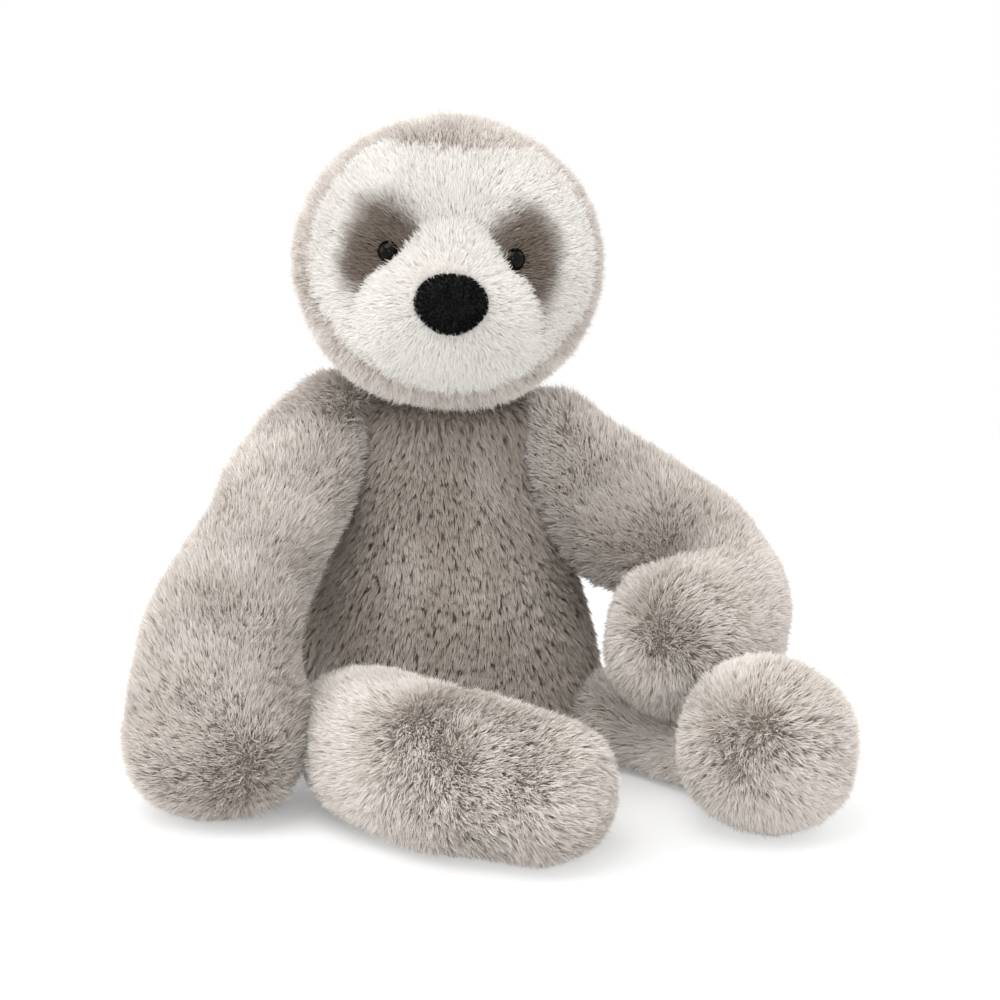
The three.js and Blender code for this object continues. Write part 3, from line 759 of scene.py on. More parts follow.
@dataclass
class Toy:
    """What every part of the toy shares: the finishes and the parts that press on each other."""

    wardrobe: Wardrobe
    parts: dict[str, "Part"] = field(default_factory=dict)
    seed: int = 40
    skin_fill: float = 0.75
    stuffing_fill: float = 0.8
    pressed_least: float = 0.45
    pressed_depth: float = 4.0
    pressed_near: float = 0.5

    def pressed(self, part: "Part") -> Callable[[Array], Array]:
        """Says how far a part's pile is pressed by the others.

        Args:
            part: The part that the pile grows on.

        Returns:
            A function that gives the share of its length that a strand keeps. It falls from 1
            where the tip lies outside the others to pressed_least where it lies deep inside one.
        """
        others = [other for other in self.parts.values() if other is not part]

        def share(tips: Array) -> Array:
            """Rises smoothly with the distance to the nearest other part.

            Args:
                tips: Where strands' tips would be.

            Returns:
                The share of its length that each strand keeps.
            """
            depth = np.min([other.depth(tips) for other in others], axis=0)
            fall = smooth_step(depth, -self.pressed_depth, self.pressed_near)
            return self.pressed_least + (1 - self.pressed_least) * fall

        return share

    def sew(self, part: "Part", name: str, cloth: Cloth, coat: Coat) -> None:
        """Makes a panel: its backing cloth with the pile on it, in place of its CAD solid.

        Args:
            part: The part that it belongs to.
            name: The CAD node that it stands for.
            cloth: Its ground.
            coat: Its pile.
        """
        self.seed += 1
        inner = cloth.points - cloth.normals * coat.backing
        points, quads = shell(cloth.points, inner, cloth.normals)
        rows, columns = cloth.points.shape[:2]
        u = tone_place(cloth.tone)
        v = np.linspace(0.002, 0.018, rows)[:, None] + np.zeros(columns)
        places = np.concatenate([np.stack([u, v + shift], -1).reshape(-1, 2) for shift in (0, 0.02)])
        piece = self.join_pile(name + "_cloth", coat.pile, (points, quads, places),
                               grow_pile(cloth, coat, self.seed, self.pressed(part)))
        self.hand_in(piece, part.body, name, coat.pile.value, self.skin_fill)

    def join_pile(self, name: str, pile: Pile, ground: tuple[Array, Array, Array],
                  grown: tuple[Array, Array, Array]) -> Object:
        """Makes one mesh of a ground and the pile on it.

        Args:
            name: The piece's name.
            pile: Which cloth it is.
            ground: Points, faces and places on the tuft map of the ground.
            grown: The same of its pile.

        Returns:
            The piece.
        """
        points, faces, places = ground
        strands, triangles, tufts = grown
        return make_mesh(
            name, np.concatenate([points, strands]), [faces, triangles + len(points)],
            [self.wardrobe.ground[pile], self.wardrobe.pile[pile]],
            np.concatenate([np.zeros(len(faces)), np.ones(len(triangles))]),
            np.concatenate([places, tufts]))

    def stuff(self, part: "Part", name: str, rings: Array, slot: str = "stuffing", lump: float = 1.2) -> None:
        """Makes a filling: closed rings, with lumps raised along their normals.

        Args:
            part: The part that it belongs to.
            name: The CAD node that it stands for.
            rings: Rings of points.
            slot: The name of its finish among the fills.
            lump: Height of the lumps in mm.
        """
        self.seed += 1
        lumps = waves(rings, 17.0, self.seed) + 0.5 * waves(rings, 8.0, self.seed + 100)
        out = grid_normals(rings, rings.mean((0, 1)))
        points, faces = closed_grid(rings - out * (lump * (0.8 - 0.5 * lumps))[..., None])
        piece = make_mesh(name + "_fill", points, faces, [self.wardrobe.fills[slot]])
        self.hand_in(piece, part.body, name, slot, self.stuffing_fill)

    def hand_in(self, piece: Object, body: str, node: str, slot: str, fill: float | None = None) -> None:
        """Rides a piece on its body in place of its CAD node, and reports it.

        Args:
            piece: The piece.
            body: The body that it moves with.
            node: The CAD node that it stands for.
            slot: The name of its finish; not used.
            fill: How full a padded piece is, or None for a hard one; not used.
        """
        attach(piece, body)
        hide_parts(node)
        LOG.info("%s: %d faces", piece.name, len(piece.data.polygons))


class Part:
    """A part of the toy. Its depth function lets its neighbours and their pile give way to it."""

    body = "torso"

    def depth(self, points: Array) -> Array:
        """How far points lie outside this part's pile, below zero inside."""
        raise NotImplementedError


def give_way(points: Array, normals: Array, others: Sequence[Part], room: float) -> Array:
    """Dents a surface where another part sits in it: each point moves back along its normal until
    it lies clear of the others.

    Args:
        points: Points of the surface.
        normals: Its normals.
        others: The parts that press on it.
        room: How far from their surfaces it has to stay, in mm.

    Returns:
        The moved points.
    """
    rounds, share = 8, 0.7
    flat, out = points.reshape(-1, 3).copy(), normals.reshape(-1, 3)
    for _ in range(rounds):
        depth = np.min([other.depth(flat) for other in others], axis=0)
        flat -= out * np.maximum(room - depth, 0)[:, None] * share
    return flat.reshape(points.shape)


@dataclass
class Torso(Part):
    """The pear-shaped body: oval rings from the seat to the gathered neck. Lengths are in mm."""

    toy: Toy
    height: float = 173.5
    width: float = 139.0
    depth_size: float = 106.0
    floor_flat: float = 0.5
    seam_back: float = 8.0
    pouch_top: float = 27.0
    fill_inset: float = 9.0
    limb_room: float = 0.5
    pile_lean: float = 1.3
    # The body's pile takes mostly the dark ramp, darker than the limbs': painted shade of a body between the
    # arms and under the head
    tone: float = 0.88
    tone_waves: float = 0.14
    coat: Coat = Coat(Pile.GREY, length=7.2, root=3.0, tufts_per_cm2=27, spread=1.2, gather=0.25, stray=0.12)
    rings: tuple[Triple, ...] = (
        (0, 0, 0), (0.004, 0.7, 0.7), (0.03, 0.87, 0.87), (0.075, 0.965, 0.96), (0.14, 1, 1),
        (0.22, 0.99, 0.98), (0.32, 0.945, 0.925), (0.43, 0.87, 0.87), (0.54, 0.755, 0.8),
        (0.65, 0.675, 0.73), (0.75, 0.63, 0.68), (0.83, 0.605, 0.64), (0.89, 0.595, 0.6),
        (0.94, 0.53, 0.54), (0.975, 0.37, 0.37), (1, 0, 0))

    body = "torso"

    def profile(self, rows: int) -> Array:
        """Reads rings from a smooth curve through the table.

        Args:
            rows: How many rings.

        Returns:
            Height, half width and half depth of each.
        """
        table = curve_through(np.array(self.rings, dtype=float), np.linspace(0, 1, rows))
        sizes = [self.height + self.floor_flat, self.width / 2, self.depth_size / 2]
        return np.maximum(table, 0) * sizes - [self.floor_flat, 0, 0]

    def depth(self, points: Array) -> Array:
        """The larger of the distances to the oval at each point's height and to the top of the neck.

        Args:
            points: The points.

        Returns:
            One distance for each, below zero inside.
        """
        z, half_width, half_depth = self.profile(120).T
        wide = np.maximum(np.interp(points[:, 2], z, half_width), 0.5)
        deep = np.maximum(np.interp(points[:, 2], z, half_depth), 0.5)
        ring = np.hypot(points[:, 0] / wide, points[:, 1] / deep)
        return np.maximum((ring - 1) * np.minimum(wide, deep), points[:, 2] - self.height)

    def panel(self, back: bool) -> Cloth:
        """One half of the skin: each ring runs from side seam to side seam, round the front or back.
        The ground is drawn in by the coat's root, and its pile hangs down.

        Args:
            back: Whether it is the back half.

        Returns:
            The ground.
        """
        z, wide, deep = self.profile(90).T
        wide, deep = np.maximum(wide, 0.6), np.maximum(deep, 0.6)
        seam = np.arcsin(np.clip(self.seam_back / deep, 0, 0.9))
        t = np.linspace(0, 1, 80)
        start = seam[:, None] if back else -math.pi - seam[:, None]
        sweep = (math.pi - 2 * seam if back else math.pi + 2 * seam)[:, None]
        angle = start + sweep * t
        points = np.stack([wide[:, None] * np.cos(angle), deep[:, None] * np.sin(angle),
                           np.broadcast_to(z[:, None], angle.shape)], -1)
        middle = np.array([0.0, 0.0, self.height * 0.4])
        normals = grid_normals(points, middle)
        others = [part for part in self.toy.parts.values() if isinstance(part, Limb)]
        points = give_way(points, normals, others, self.limb_room)
        normals = grid_normals(points, middle)
        points = points - normals * self.coat.root
        points[..., 2] = np.maximum(points[..., 2], GROUND_LOW)
        lean = flatten(-UP, normals) * self.pile_lean + swirls(points, 60.0, 7) * 0.2
        # Painted shade: the body's tone, darker than the limbs', with random waves on it
        dark = self.tone + self.tone_waves * waves(points, 38.0, 3)
        under = smooth_step(points[..., 2], 14.0, 4.0)
        return Cloth(points, normals, lean, 1 - 0.5 * under, dark, 1 - 0.6 * under)

    def build(self) -> None:
        """Sews both panels and fills them."""
        for back, name in ((False, "body_front_skin"), (True, "body_back_skin")):
            self.toy.sew(self, name, self.panel(back), self.coat)
        self.toy.stuff(self, "body_stuffing", self.filling(self.pouch_top + 1.2, self.height))
        self.toy.stuff(self, "pellet_pouch", self.filling(0, self.pouch_top - 0.6), "pouch_cloth", lump=0.8)

    def filling(self, low: float, high: float) -> Array:
        """Rings inside the skin, which round off at both ends along a quarter circle.

        Args:
            low: Height of the lowest ring in mm.
            high: Height of the highest.

        Returns:
            The rings, rows x columns x 3, clear of the limbs.
        """
        inset = self.fill_inset
        low, high = max(low, inset), min(high, self.height - inset)
        z, wide, deep = self.profile(120).T
        t = np.linspace(0, 1, 60)
        heights = low + (high - low) * (1 - np.cos(math.pi * t)) / 2
        edge = np.minimum(np.minimum(heights - low, high - heights) / 3.0, 1.0)
        shrink = np.sqrt(np.maximum(1 - (1 - edge) ** 2, 0)) * 0.98 + 0.02
        angle = np.linspace(0, 2 * math.pi, 96, endpoint=False)
        ones = np.ones((len(t), len(angle)))
        half_width = (np.interp(heights, z, wide) - inset) * shrink
        half_depth = (np.interp(heights, z, deep) - inset) * shrink
        points = np.stack([half_width[:, None] * np.cos(angle), half_depth[:, None] * np.sin(angle),
                           heights[:, None] * ones], -1)
        level = unit(points * [1, 1, 0] + [1e-6, 0, 0])
        limbs = [part for part in self.toy.parts.values() if isinstance(part, Limb)]
        return give_way(points, level, limbs, inset)


class Fixed(Enum):
    """Which direction across a limb is held steady along it."""

    SEAM = "seam"
    PANEL = "panel"


@dataclass
class Limb(Part):
    """An arm or leg: ovals along a bent middle line with round ends, of two panels. Lengths are in mm.

    Pile is combed along the limb farther than combed from the whorl, and nearer it radiates. Fan is
    how far it also radiates behind the whorl, and the whorl's painted shade how much darker its tone
    is painted, as shade where the pile parts there."""

    toy: Toy
    name: str
    panels: tuple[str, str]
    route: Array
    seam_radii: Array
    panel_radii: Array
    steady: Fixed
    steady_way: Array
    root_cap: float
    paw_cap: float
    whorl: Triple
    combed: float = 60.0
    combed_edge: float = 30.0
    whorl_painted_shade: float = 0.14
    coat: Coat = Coat(Pile.GREY, length=8.2, root=3.8, width=0.53, spread=2.0, gather=0.2, stray=0.14)
    lean: float = 0.6
    whorl_lean: float = 2.4
    most_lean: float = 0.6
    fan: float = 0.0
    fill_inset: float = 8.6
    lump: float = 0.9
    tone: float = 0.13
    tone_waves: float = 0.09

    def __post_init__(self) -> None:
        """A limb is a body by itself."""
        self.body = self.name

    def stations(self, inset: float, cap_rows: int, rows: int) -> tuple[Array, ...]:
        """Ovals along the limb: a round cap, the route and a round cap.

        Args:
            inset: How far inside the pile the ovals lie.
            cap_rows: Ovals in each cap.
            rows: Ovals along the route.

        Returns:
            Centres, the directions along, of the seam and of the panel, and the two radii.
        """
        swing = np.linspace(0, math.pi / 2, cap_rows + 1)[1:] * 0.995
        t = np.concatenate([np.zeros(cap_rows), np.linspace(0, 1, rows), np.ones(cap_rows)])
        bulge = np.concatenate([swing[::-1], np.zeros(rows), swing])
        caps = np.concatenate([np.full(cap_rows, -(self.root_cap - inset)), np.zeros(rows),
                               np.full(cap_rows, self.paw_cap - inset)])
        centre = curve_through(self.route, t)
        step = 1e-4
        ahead = curve_through(self.route, np.minimum(t + step, 1))
        along = unit(ahead - curve_through(self.route, np.maximum(t - step, 0)))
        square = unit(self.steady_way - along * (along @ self.steady_way)[:, None])
        other = unit(np.cross(along, square))
        seam, panel = (square, other) if self.steady is Fixed.SEAM else (other, square)
        sizes = curve_through(np.stack([self.seam_radii, self.panel_radii], -1), t)
        sizes = (sizes - inset) * np.cos(bulge)[:, None]
        centre = centre + along * (caps * np.sin(bulge))[:, None]
        return centre, along, seam, panel, sizes[:, 0], sizes[:, 1]

    def depth(self, points: Array) -> Array:
        """Least distance to a row of ellipsoids along the middle line, each longer than their step.

        Args:
            points: The points.

        Returns:
            One distance for each, below zero inside.
        """
        centre, along, seam, panel, wide, thick = self.stations(0.0, 3, 26)
        least = np.full(len(points), 1e3)
        for k in range(3, len(centre) - 3):
            offset = points - centre[k]
            small = min(wide[k], thick[k])
            ring = np.sqrt((offset @ seam[k] / wide[k]) ** 2 + (offset @ panel[k] / thick[k]) ** 2
                           + (offset @ along[k] / small) ** 2)
            least = np.minimum(least, (ring - 1) * small)
        return least

    def surface(self, inset: float, start: float, sweep: float, columns: int) -> tuple[Array, Array]:
        """A sheet round the limb: on each oval, seam times cosine and panel times sine of the angle.

        Args:
            inset: How far inside the pile it lies.
            start: Its first angle.
            sweep: How far it goes round.
            columns: Points across it.

        Returns:
            The grid and its middle line.
        """
        centre, _, seam, panel, wide, thick = self.stations(inset, 12, 56)
        angle = start + sweep * np.linspace(0, 1, columns)
        reach = (wide[:, None, None] * seam[:, None] * np.cos(angle)[:, None]
                 + thick[:, None, None] * panel[:, None] * np.sin(angle)[:, None])
        return centre[:, None] + reach, centre[:, None]

    def skin(self, side: int) -> Cloth:
        """One panel's ground, softly lumpy. Its pile leans along the limb. Near the paw it radiates from a
        point inside it, so that it makes a whorl at the front, where the darker roots show and its tone is
        painted darker, as shade where the pile parts.

        Args:
            side: 1 for the first panel, -1 for the second.

        Returns:
            The ground.
        """
        points, middle = self.surface(self.coat.root, 0, side * math.pi, 60)
        normals = grid_normals(points, middle)
        points = points + normals * (waves(points, 46.0, 11) * self.lump)[..., None]
        points[..., 2] = np.maximum(points[..., 2], GROUND_LOW)
        normals = grid_normals(points, middle)
        seed = sum(map(ord, self.name))
        along = unit(np.gradient(points, axis=0))
        away = points - np.array(self.whorl)
        far = np.linalg.norm(away, axis=-1)
        near = smooth_step(far, self.combed + self.combed_edge, self.combed)[..., None]
        behind = np.minimum(away @ WHORL_WAY, 0)[..., None] * WHORL_WAY
        spread = away - behind * self.fan
        height = (spread * normals).sum(-1, keepdims=True)
        aside = self.whorl_lean * (spread - normals * height) / np.maximum(height, 0.5 * far[..., None])
        aside *= self.most_lean / np.maximum(np.linalg.norm(aside, axis=-1, keepdims=True), self.most_lean)
        lean = along * self.lean * (1 - near) + aside * near + swirls(points, 38.0, seed) * 0.16
        lean = flatten(lean, normals)
        under = smooth_step(points[..., 2], 12.0, 4.0) * smooth_step(normals[..., 2], -0.3, -0.8)
        tone = self.tone + self.tone_waves * waves(points, 40.0, seed + 5)
        # Painted shade: the whorl's tone is darkened where the pile parts and the eye looks down into it
        tone += self.whorl_painted_shade * smooth_step(unit(away) @ WHORL_WAY, 0.86, 0.99)
        return Cloth(points, normals, lean, 1 - 0.35 * under, tone, 1 - 0.5 * under)

    def build(self) -> None:
        """Sews the two panels and fills the limb."""
        for side, panel in ((1, self.panels[0]), (-1, self.panels[1])):
            self.toy.sew(self, f"{self.name}_{panel}_skin", self.skin(side), self.coat)
        columns = 64
        rings, _ = self.surface(self.fill_inset, 0, 2 * math.pi * (columns - 1) / columns, columns)
        self.toy.stuff(self, f"{self.name}_stuffing", rings)


@dataclass
class Head(Part):
    """A ball a little wider than high, with a muzzle that is narrow between the eyes and wide at the
    cheeks. Lengths are in mm, and places are measured from the middle of the ball, before it
    rolls to one side."""

    toy: Toy
    width: float = 133.4
    depth_size: float = 115.0
    height: float = 125.0
    middle: Triple = (0.8, -6.0, 226.0)
    roll: float = math.radians(4.0)
    turn: float = math.radians(2.0)
    seam_forward: float = 25.5
    seam_tilt: float = math.radians(12.0)
    seam_aside: float = 0.042
    face_top: float = 53.0
    muzzle_width: float = 82.0
    muzzle_height: float = 81.0
    muzzle_depth: float = 42.0
    muzzle_front: float = 75.0
    muzzle_drop: float = 7.5
    eye_spacing: float = 56.0
    eye_rise: float = 12.5
    eye_sunk: float = 4.0
    eye_diameter: float = 10.0
    eye_edge: float = 0.5
    eye_dome: float = 4.7
    skin_depth: float = 7.0
    washer_gap: float = 2.6
    washer_thick: float = 1.6
    eye_parting: float = 0.45
    eye_short: float = 0.42
    shade_middle: tuple[float, float] = (28.2, 9.5)
    shade_size: tuple[float, float] = (18.4, 26.5)
    seam_gap: float = 0.008
    fill_inset: float = 9.0
    eye_room: float = 11.5
    nose_size: Triple = (31.0, 18.0, 26.0)
    nose_front: float = 80.0
    nose_drop: float = 4.7
    nose_aside: float = 0.4
    nose_draw: float = 0.24
    nose_fill: float = 0.9
    crease_depth: float = 0.7
    cover: Coat = Coat(Pile.GREY, length=7.4, root=3.8, width=0.53, spread=2.0, gather=0.2, stray=0.1)
    face: Coat = Coat(Pile.CREAM, length=6.2, root=2.3, width=0.6, tufts_per_cm2=42,
                       spread=2.4, stray=0.08, gather=0.05, mottle=0.02)
    velour: Coat = Coat(Pile.VELOUR, length=1.5, root=0.6, width=0.24, tufts_per_cm2=110, strands=8,
                        spread=0.5, gather=0.3, stray=0.3, backing=0.6)
    muzzle_rings: tuple[Triple, ...] = (
        (0, 0, 0), (0.046, 0.57, 0.37), (0.138, 0.806, 0.62), (0.264, 0.958, 0.845),
        (0.414, 1, 0.976), (0.552, 0.965, 1), (0.667, 0.81, 0.952), (0.77, 0.64, 0.833),
        (0.897, 0.5, 0.595), (0.954, 0.47, 0.44), (0.989, 0.34, 0.285), (1, 0, 0))

    body = "head"

    def out(self, points: Array) -> Array:
        """Takes points from the head's frame to the toy's: rolled about Y, turned about Z, then moved."""
        return points @ self.way().T + self.middle

    def back_in(self, points: Array) -> Array:
        """Takes points from the toy's frame to the head's."""
        return (points - self.middle) @ self.way()

    def way(self) -> Array:
        """Works out the way the head is held.

        Returns:
            The matrix of its roll, with its turn after it.
        """
        cos, sin = math.cos(self.roll), math.sin(self.roll)
        ahead, aside = math.cos(self.turn), math.sin(self.turn)
        rolled = np.array([[cos, 0, sin], [0, 1, 0], [-sin, 0, cos]])
        return np.array([[ahead, -aside, 0], [aside, ahead, 0], [0, 0, 1]]) @ rolled

    def half_sizes(self) -> Array:
        """The ball's half width, depth and height."""
        return np.array([self.width, self.depth_size, self.height]) / 2

    def depth(self, points: Array) -> Array:
        """Distance to the ball, by how many times too far out a point lies."""
        sizes = self.half_sizes()
        return (np.linalg.norm(self.back_in(points) / sizes, axis=-1) - 1) * sizes.min()

    def ways(self, polar: Array, around: Array) -> Array:
        """Directions at a polar angle from straight ahead and an angle round it, from the left side up."""
        return np.stack([np.sin(polar) * np.cos(around), -np.cos(polar), np.sin(polar) * np.sin(around)], -1)

    def ball_reach(self, ways: Array) -> Array:
        """Distance from the middle to the ball: one over the length of the direction in its half sizes."""
        return 1 / np.linalg.norm(ways / self.half_sizes(), axis=-1)

    def muzzle_reach(self, ways: Array) -> Array:
        """Distance from the middle to the muzzle, where a ray leaves the oval at its own height.

        Args:
            ways: The rays' directions.

        Returns:
            One distance for each.
        """
        table = curve_through(np.array(self.muzzle_rings, dtype=float), np.linspace(0, 1, 120))
        heights = (table[:, 0] - 0.5) * self.muzzle_height - self.muzzle_drop
        start = self.muzzle_depth - self.muzzle_front

        def inside(reach: Array) -> Array:
            """One less the squares of X and Y in the oval's half width and depth.

            Args:
                reach: How far each ray has gone.

            Returns:
                Numbers above zero where a ray is still in the oval.
            """
            x, y, z = np.moveaxis(ways * reach[..., None], -1, 0)
            wide = np.maximum(np.interp(z, heights, np.maximum(table[:, 1], 0)) * self.muzzle_width / 2, 0.01)
            deep = np.maximum(np.interp(z, heights, np.maximum(table[:, 2], 0)) * self.muzzle_depth, 0.01)
            return 1 - (x / wide) ** 2 - ((y - start) / deep) ** 2

        low = np.full(ways.shape[:-1], 5.0)
        return bisect(inside, low, low + 90)

    def reach(self, ways: Array) -> Array:
        """Distance from the middle to the ball or muzzle, whichever is farther: the logarithm of the sum
        of their exponentials, so that the crease is soft. It is sharp beside the eyes, soft at the chin.

        Args:
            ways: The rays' directions.

        Returns:
            One distance for each.
        """
        ball, muzzle = self.ball_reach(ways), self.muzzle_reach(ways)
        soft = 1.2 + 5.0 * smooth_step(ways[..., 2], -0.1, -0.5)
        return ball + soft * np.logaddexp(0, (muzzle - ball) / soft)

    def muzzle_edge(self, around: Array) -> Array:
        """Where the muzzle sinks into the ball, or a little inside the face's seam.

        Args:
            around: Angles round the head.

        Returns:
            A polar angle for each.
        """

        def proud(polar: Array) -> Array:
            """How far the muzzle stands over the ball."""
            ways = self.ways(polar, around)
            return self.muzzle_reach(ways) - self.ball_reach(ways)

        low = np.full_like(around, 0.1)
        return np.minimum(bisect(proud, low, low + 1.4), self.face_edge(around) - 0.09)

    def face_edge(self, around: Array) -> Array:
        """The seam round the face: where the ball meets a tilted plane, or the level of the brow if
        that comes first. At the chin it is drawn in.

        Args:
            around: Angles round the head.

        Returns:
            A polar angle for each.
        """
        ahead = np.array([self.seam_aside, -math.cos(self.seam_tilt), math.sin(self.seam_tilt)])
        limit = self.seam_forward * math.cos(self.seam_tilt)
        low = np.full_like(around, 0.2)

        def front(polar: Array) -> Array:
            """The lesser of the distances ahead of the plane and below the brow.

            Args:
                polar: Polar angles.

            Returns:
                Numbers above zero ahead of the seam.
            """
            ways = self.ways(polar, around)
            reach = self.ball_reach(ways)
            return np.minimum(reach * (ways @ ahead) - limit, self.face_top - reach * ways[..., 2])

        return bisect(front, low, low + 2.2) - 0.19 * smooth_step(-np.sin(around), 0.2, 0.9)

    def eye_place(self, side: int) -> tuple[Array, Array]:
        """Where an eye sits: it looks out of the ball, along the ball's normal.

        Args:
            side: -1 for the right eye, 1 for the left.

        Returns:
            The middle of its base in the head's frame, and the way it looks.
        """
        x, z = side * self.eye_spacing / 2, self.eye_rise
        sizes = self.half_sizes()
        y = -sizes[1] * math.sqrt(1 - (x / sizes[0]) ** 2 - (z / sizes[2]) ** 2)
        surface = np.array([x, y, z])
        out = unit(surface / sizes**2)
        return surface - out * self.eye_sunk, out

    def cloth(self, coat: Coat, first: Array, last: Array, around: Array, rows: int) -> tuple[Cloth, Array]:
        """A panel of the head between two polar angles.

        Args:
            coat: Its pile.
            first: Inner polar angles, one for each angle round.
            last: Outer polar angles.
            around: The angles round.
            rows: Points from the inner edge to the outer.

        Returns:
            The ground, with pile that leans away from the nose, and its places in the head's frame.
        """
        t = np.linspace(0, 1, rows)[:, None]
        polar = first + t * (last - first)
        turn = np.broadcast_to(around, polar.shape)
        ways = self.ways(polar, turn)
        local = ways * self.reach(ways)[..., None]
        normals, away = self.slopes(polar, turn)
        points = give_way(self.out(local), normals, [self.toy.parts["torso"]], 0.4) - normals * coat.root
        # One array for reach and keep: where the pile is shorter, fewer tufts grow
        full = np.ones(points.shape[:2])
        return Cloth(points, normals, away, full, full * 0, full), local

    def slopes(self, polar: Array, around: Array) -> tuple[Array, Array]:
        """Slopes of the surface, from small steps in both angles.

        Args:
            polar: Polar angles.
            around: Angles round.

        Returns:
            Normals, and the way from the nose along the surface.
        """
        step = 0.01
        ends = []
        for more, turned in ((step, 0), (-step, 0), (0, step), (0, -step)):
            ways = self.ways(polar + more, around + turned)
            ends.append(self.out(ways * self.reach(ways)[..., None]))
        down, along = ends[0] - ends[1], ends[2] - ends[3]
        normals = unit(np.cross(down, along))
        outward = self.out(self.ways(polar, around)) - self.middle
        return normals * np.sign((normals * outward).sum(-1, keepdims=True)), unit(down)

    def dress_eyes(self, cloth: Cloth, local: Array) -> None:
        """Parts the pile round the eyes: none under the dome, and short strands that lean away beside it.

        Args:
            cloth: The panel, which is changed.
            local: Its places in the head's frame.
        """
        edge = self.eye_diameter / 2
        for side in (-1, 1):
            base, out = self.eye_place(side)
            offset = local - base
            offset = offset - out * (offset @ out)[..., None]
            away = np.linalg.norm(offset, axis=-1)
            near = smooth_step(away, 2 * edge, edge)
            turned = self.out(offset) - self.middle
            cloth.lean += unit(turned) * (near * self.eye_parting)[..., None]
            cloth.reach *= 1 - self.eye_short * near
            cloth.keep *= smooth_step(away, edge - 0.5, edge - 0.1)

    def eye_shade(self, local: Array) -> Array:
        """How far the face is airbrushed: a tall oval outside each eye, soft at its edge.

        Args:
            local: Places in the head's frame.

        Returns:
            A share for each, from 0 to 1.
        """
        x, z = np.abs(local[..., 0]), local[..., 2]
        (aside, rise), (wide, tall) = self.shade_middle, self.shade_size
        ring = np.hypot((x - aside) / wide, (z - rise) / tall) + 0.04 * waves(local, 12.0, 21)
        return smooth_step(ring, 1.12, 0.6)

    def build(self) -> None:
        """Sews the muzzle, the face and the cover, fills them and sets the nose and eyes."""
        around = np.linspace(-math.pi, math.pi, 200)
        muzzle_edge = self.muzzle_edge(around)
        self.sew_muzzle(around, muzzle_edge)
        self.sew_face(around, muzzle_edge)
        for name, first, last in (("head_cover_left", -math.pi / 2, math.pi / 2),
                                  ("head_cover_right", math.pi / 2, 1.5 * math.pi)):
            self.sew_cover(name, np.linspace(first, last, 90))
        self.fill()
        self.set_nose()
        for side, name in ((-1, "right"), (1, "left")):
            self.set_eye(side, name)

    def sew_muzzle(self, around: Array, edge: Array) -> None:
        """Sews the muzzle. Its pile is shortest beside the nose, lies down to the seam above the chin and
        leaves the nose's seat bare.

        Args:
            around: Angles round the head.
            edge: Polar angle of the muzzle's edge at each.
        """
        rows = 70
        cloth, local = self.cloth(self.face, np.full_like(around, 0.04), edge, around, rows)
        rim = smooth_step(down_rows(rows, len(around)), 0.6, 1.0)
        rim *= smooth_step(np.sin(around), -0.7, -0.2)
        x, z = local[..., 0], local[..., 2] + 2
        cloth.lean *= (0.85 - 0.45 * rim)[..., None]
        cloth.reach *= 1 - 0.3 * rim
        cloth.reach *= 0.55 + 0.45 * smooth_step(np.hypot(x, z), 12, 32)
        cloth.keep *= smooth_step(np.hypot(x / 15, z / 12), 0.8, 0.95)
        self.dress_eyes(cloth, local)
        self.toy.sew(self, "muzzle", cloth, self.face)

    def sew_face(self, around: Array, muzzle_edge: Array) -> None:
        """Sews the face, airbrushed outside the eyes. Its pile stands up towards the seam, and at the chin
        it leans back over the muzzle.

        Args:
            around: Angles round the head.
            muzzle_edge: Polar angle of the muzzle's edge at each.
        """
        rows = 60
        first, last = muzzle_edge + self.seam_gap, self.face_edge(around)
        cloth, local = self.cloth(self.face, first, last, around, rows)
        outward = down_rows(rows, len(around))
        low = smooth_step(-np.sin(around), 0.2, 0.8)
        cloth.lean *= (0.9 - (0.55 + 0.65 * low) * smooth_step(outward, 0.45, 1.0))[..., None]
        cloth.lean += swirls(cloth.points, 40.0, 31) * 0.2
        cloth.reach *= 1.02 - 0.04 * smooth_step(outward, 0.6, 1.0)
        cloth.tone[:] = 0.95 * self.eye_shade(local)
        self.dress_eyes(cloth, local)
        self.toy.sew(self, "face_panel", cloth, self.face)

    def sew_cover(self, name: str, around: Array) -> None:
        """Sews half of the cover, from the face's seam to the back. Its pile stands at the seam, in streaks
        of tone, and lies back behind it.

        Args:
            name: The CAD node that it stands for.
            around: Angles round the head, from one seam to the other.
        """
        rows = 70
        edge = self.face_edge((around + math.pi) % (2 * math.pi) - math.pi) + self.seam_gap
        cloth, local = self.cloth(self.cover, edge, np.full_like(around, math.pi - 0.01), around, rows)
        back = down_rows(rows, len(around))
        swirl = 0.1 + 0.25 * smooth_step(back, 0.0, 0.3)
        cloth.lean *= (0.5 * smooth_step(back, 0.02, 0.3))[..., None]
        cloth.lean += swirls(cloth.points, 50.0, 51) * swirl[..., None]
        ring = 40.0 * np.stack([np.cos(around), np.sin(around), 0 * around], -1)
        cloth.tone[:] = 0.13 + 0.14 * waves(ring, 7.0, 61) * smooth_step(back, 0.5, 0.1)
        cloth.reach *= 1 + 0.3 * smooth_step(local[..., 2], -20.0, -45.0)
        self.toy.sew(self, name, cloth, self.cover)

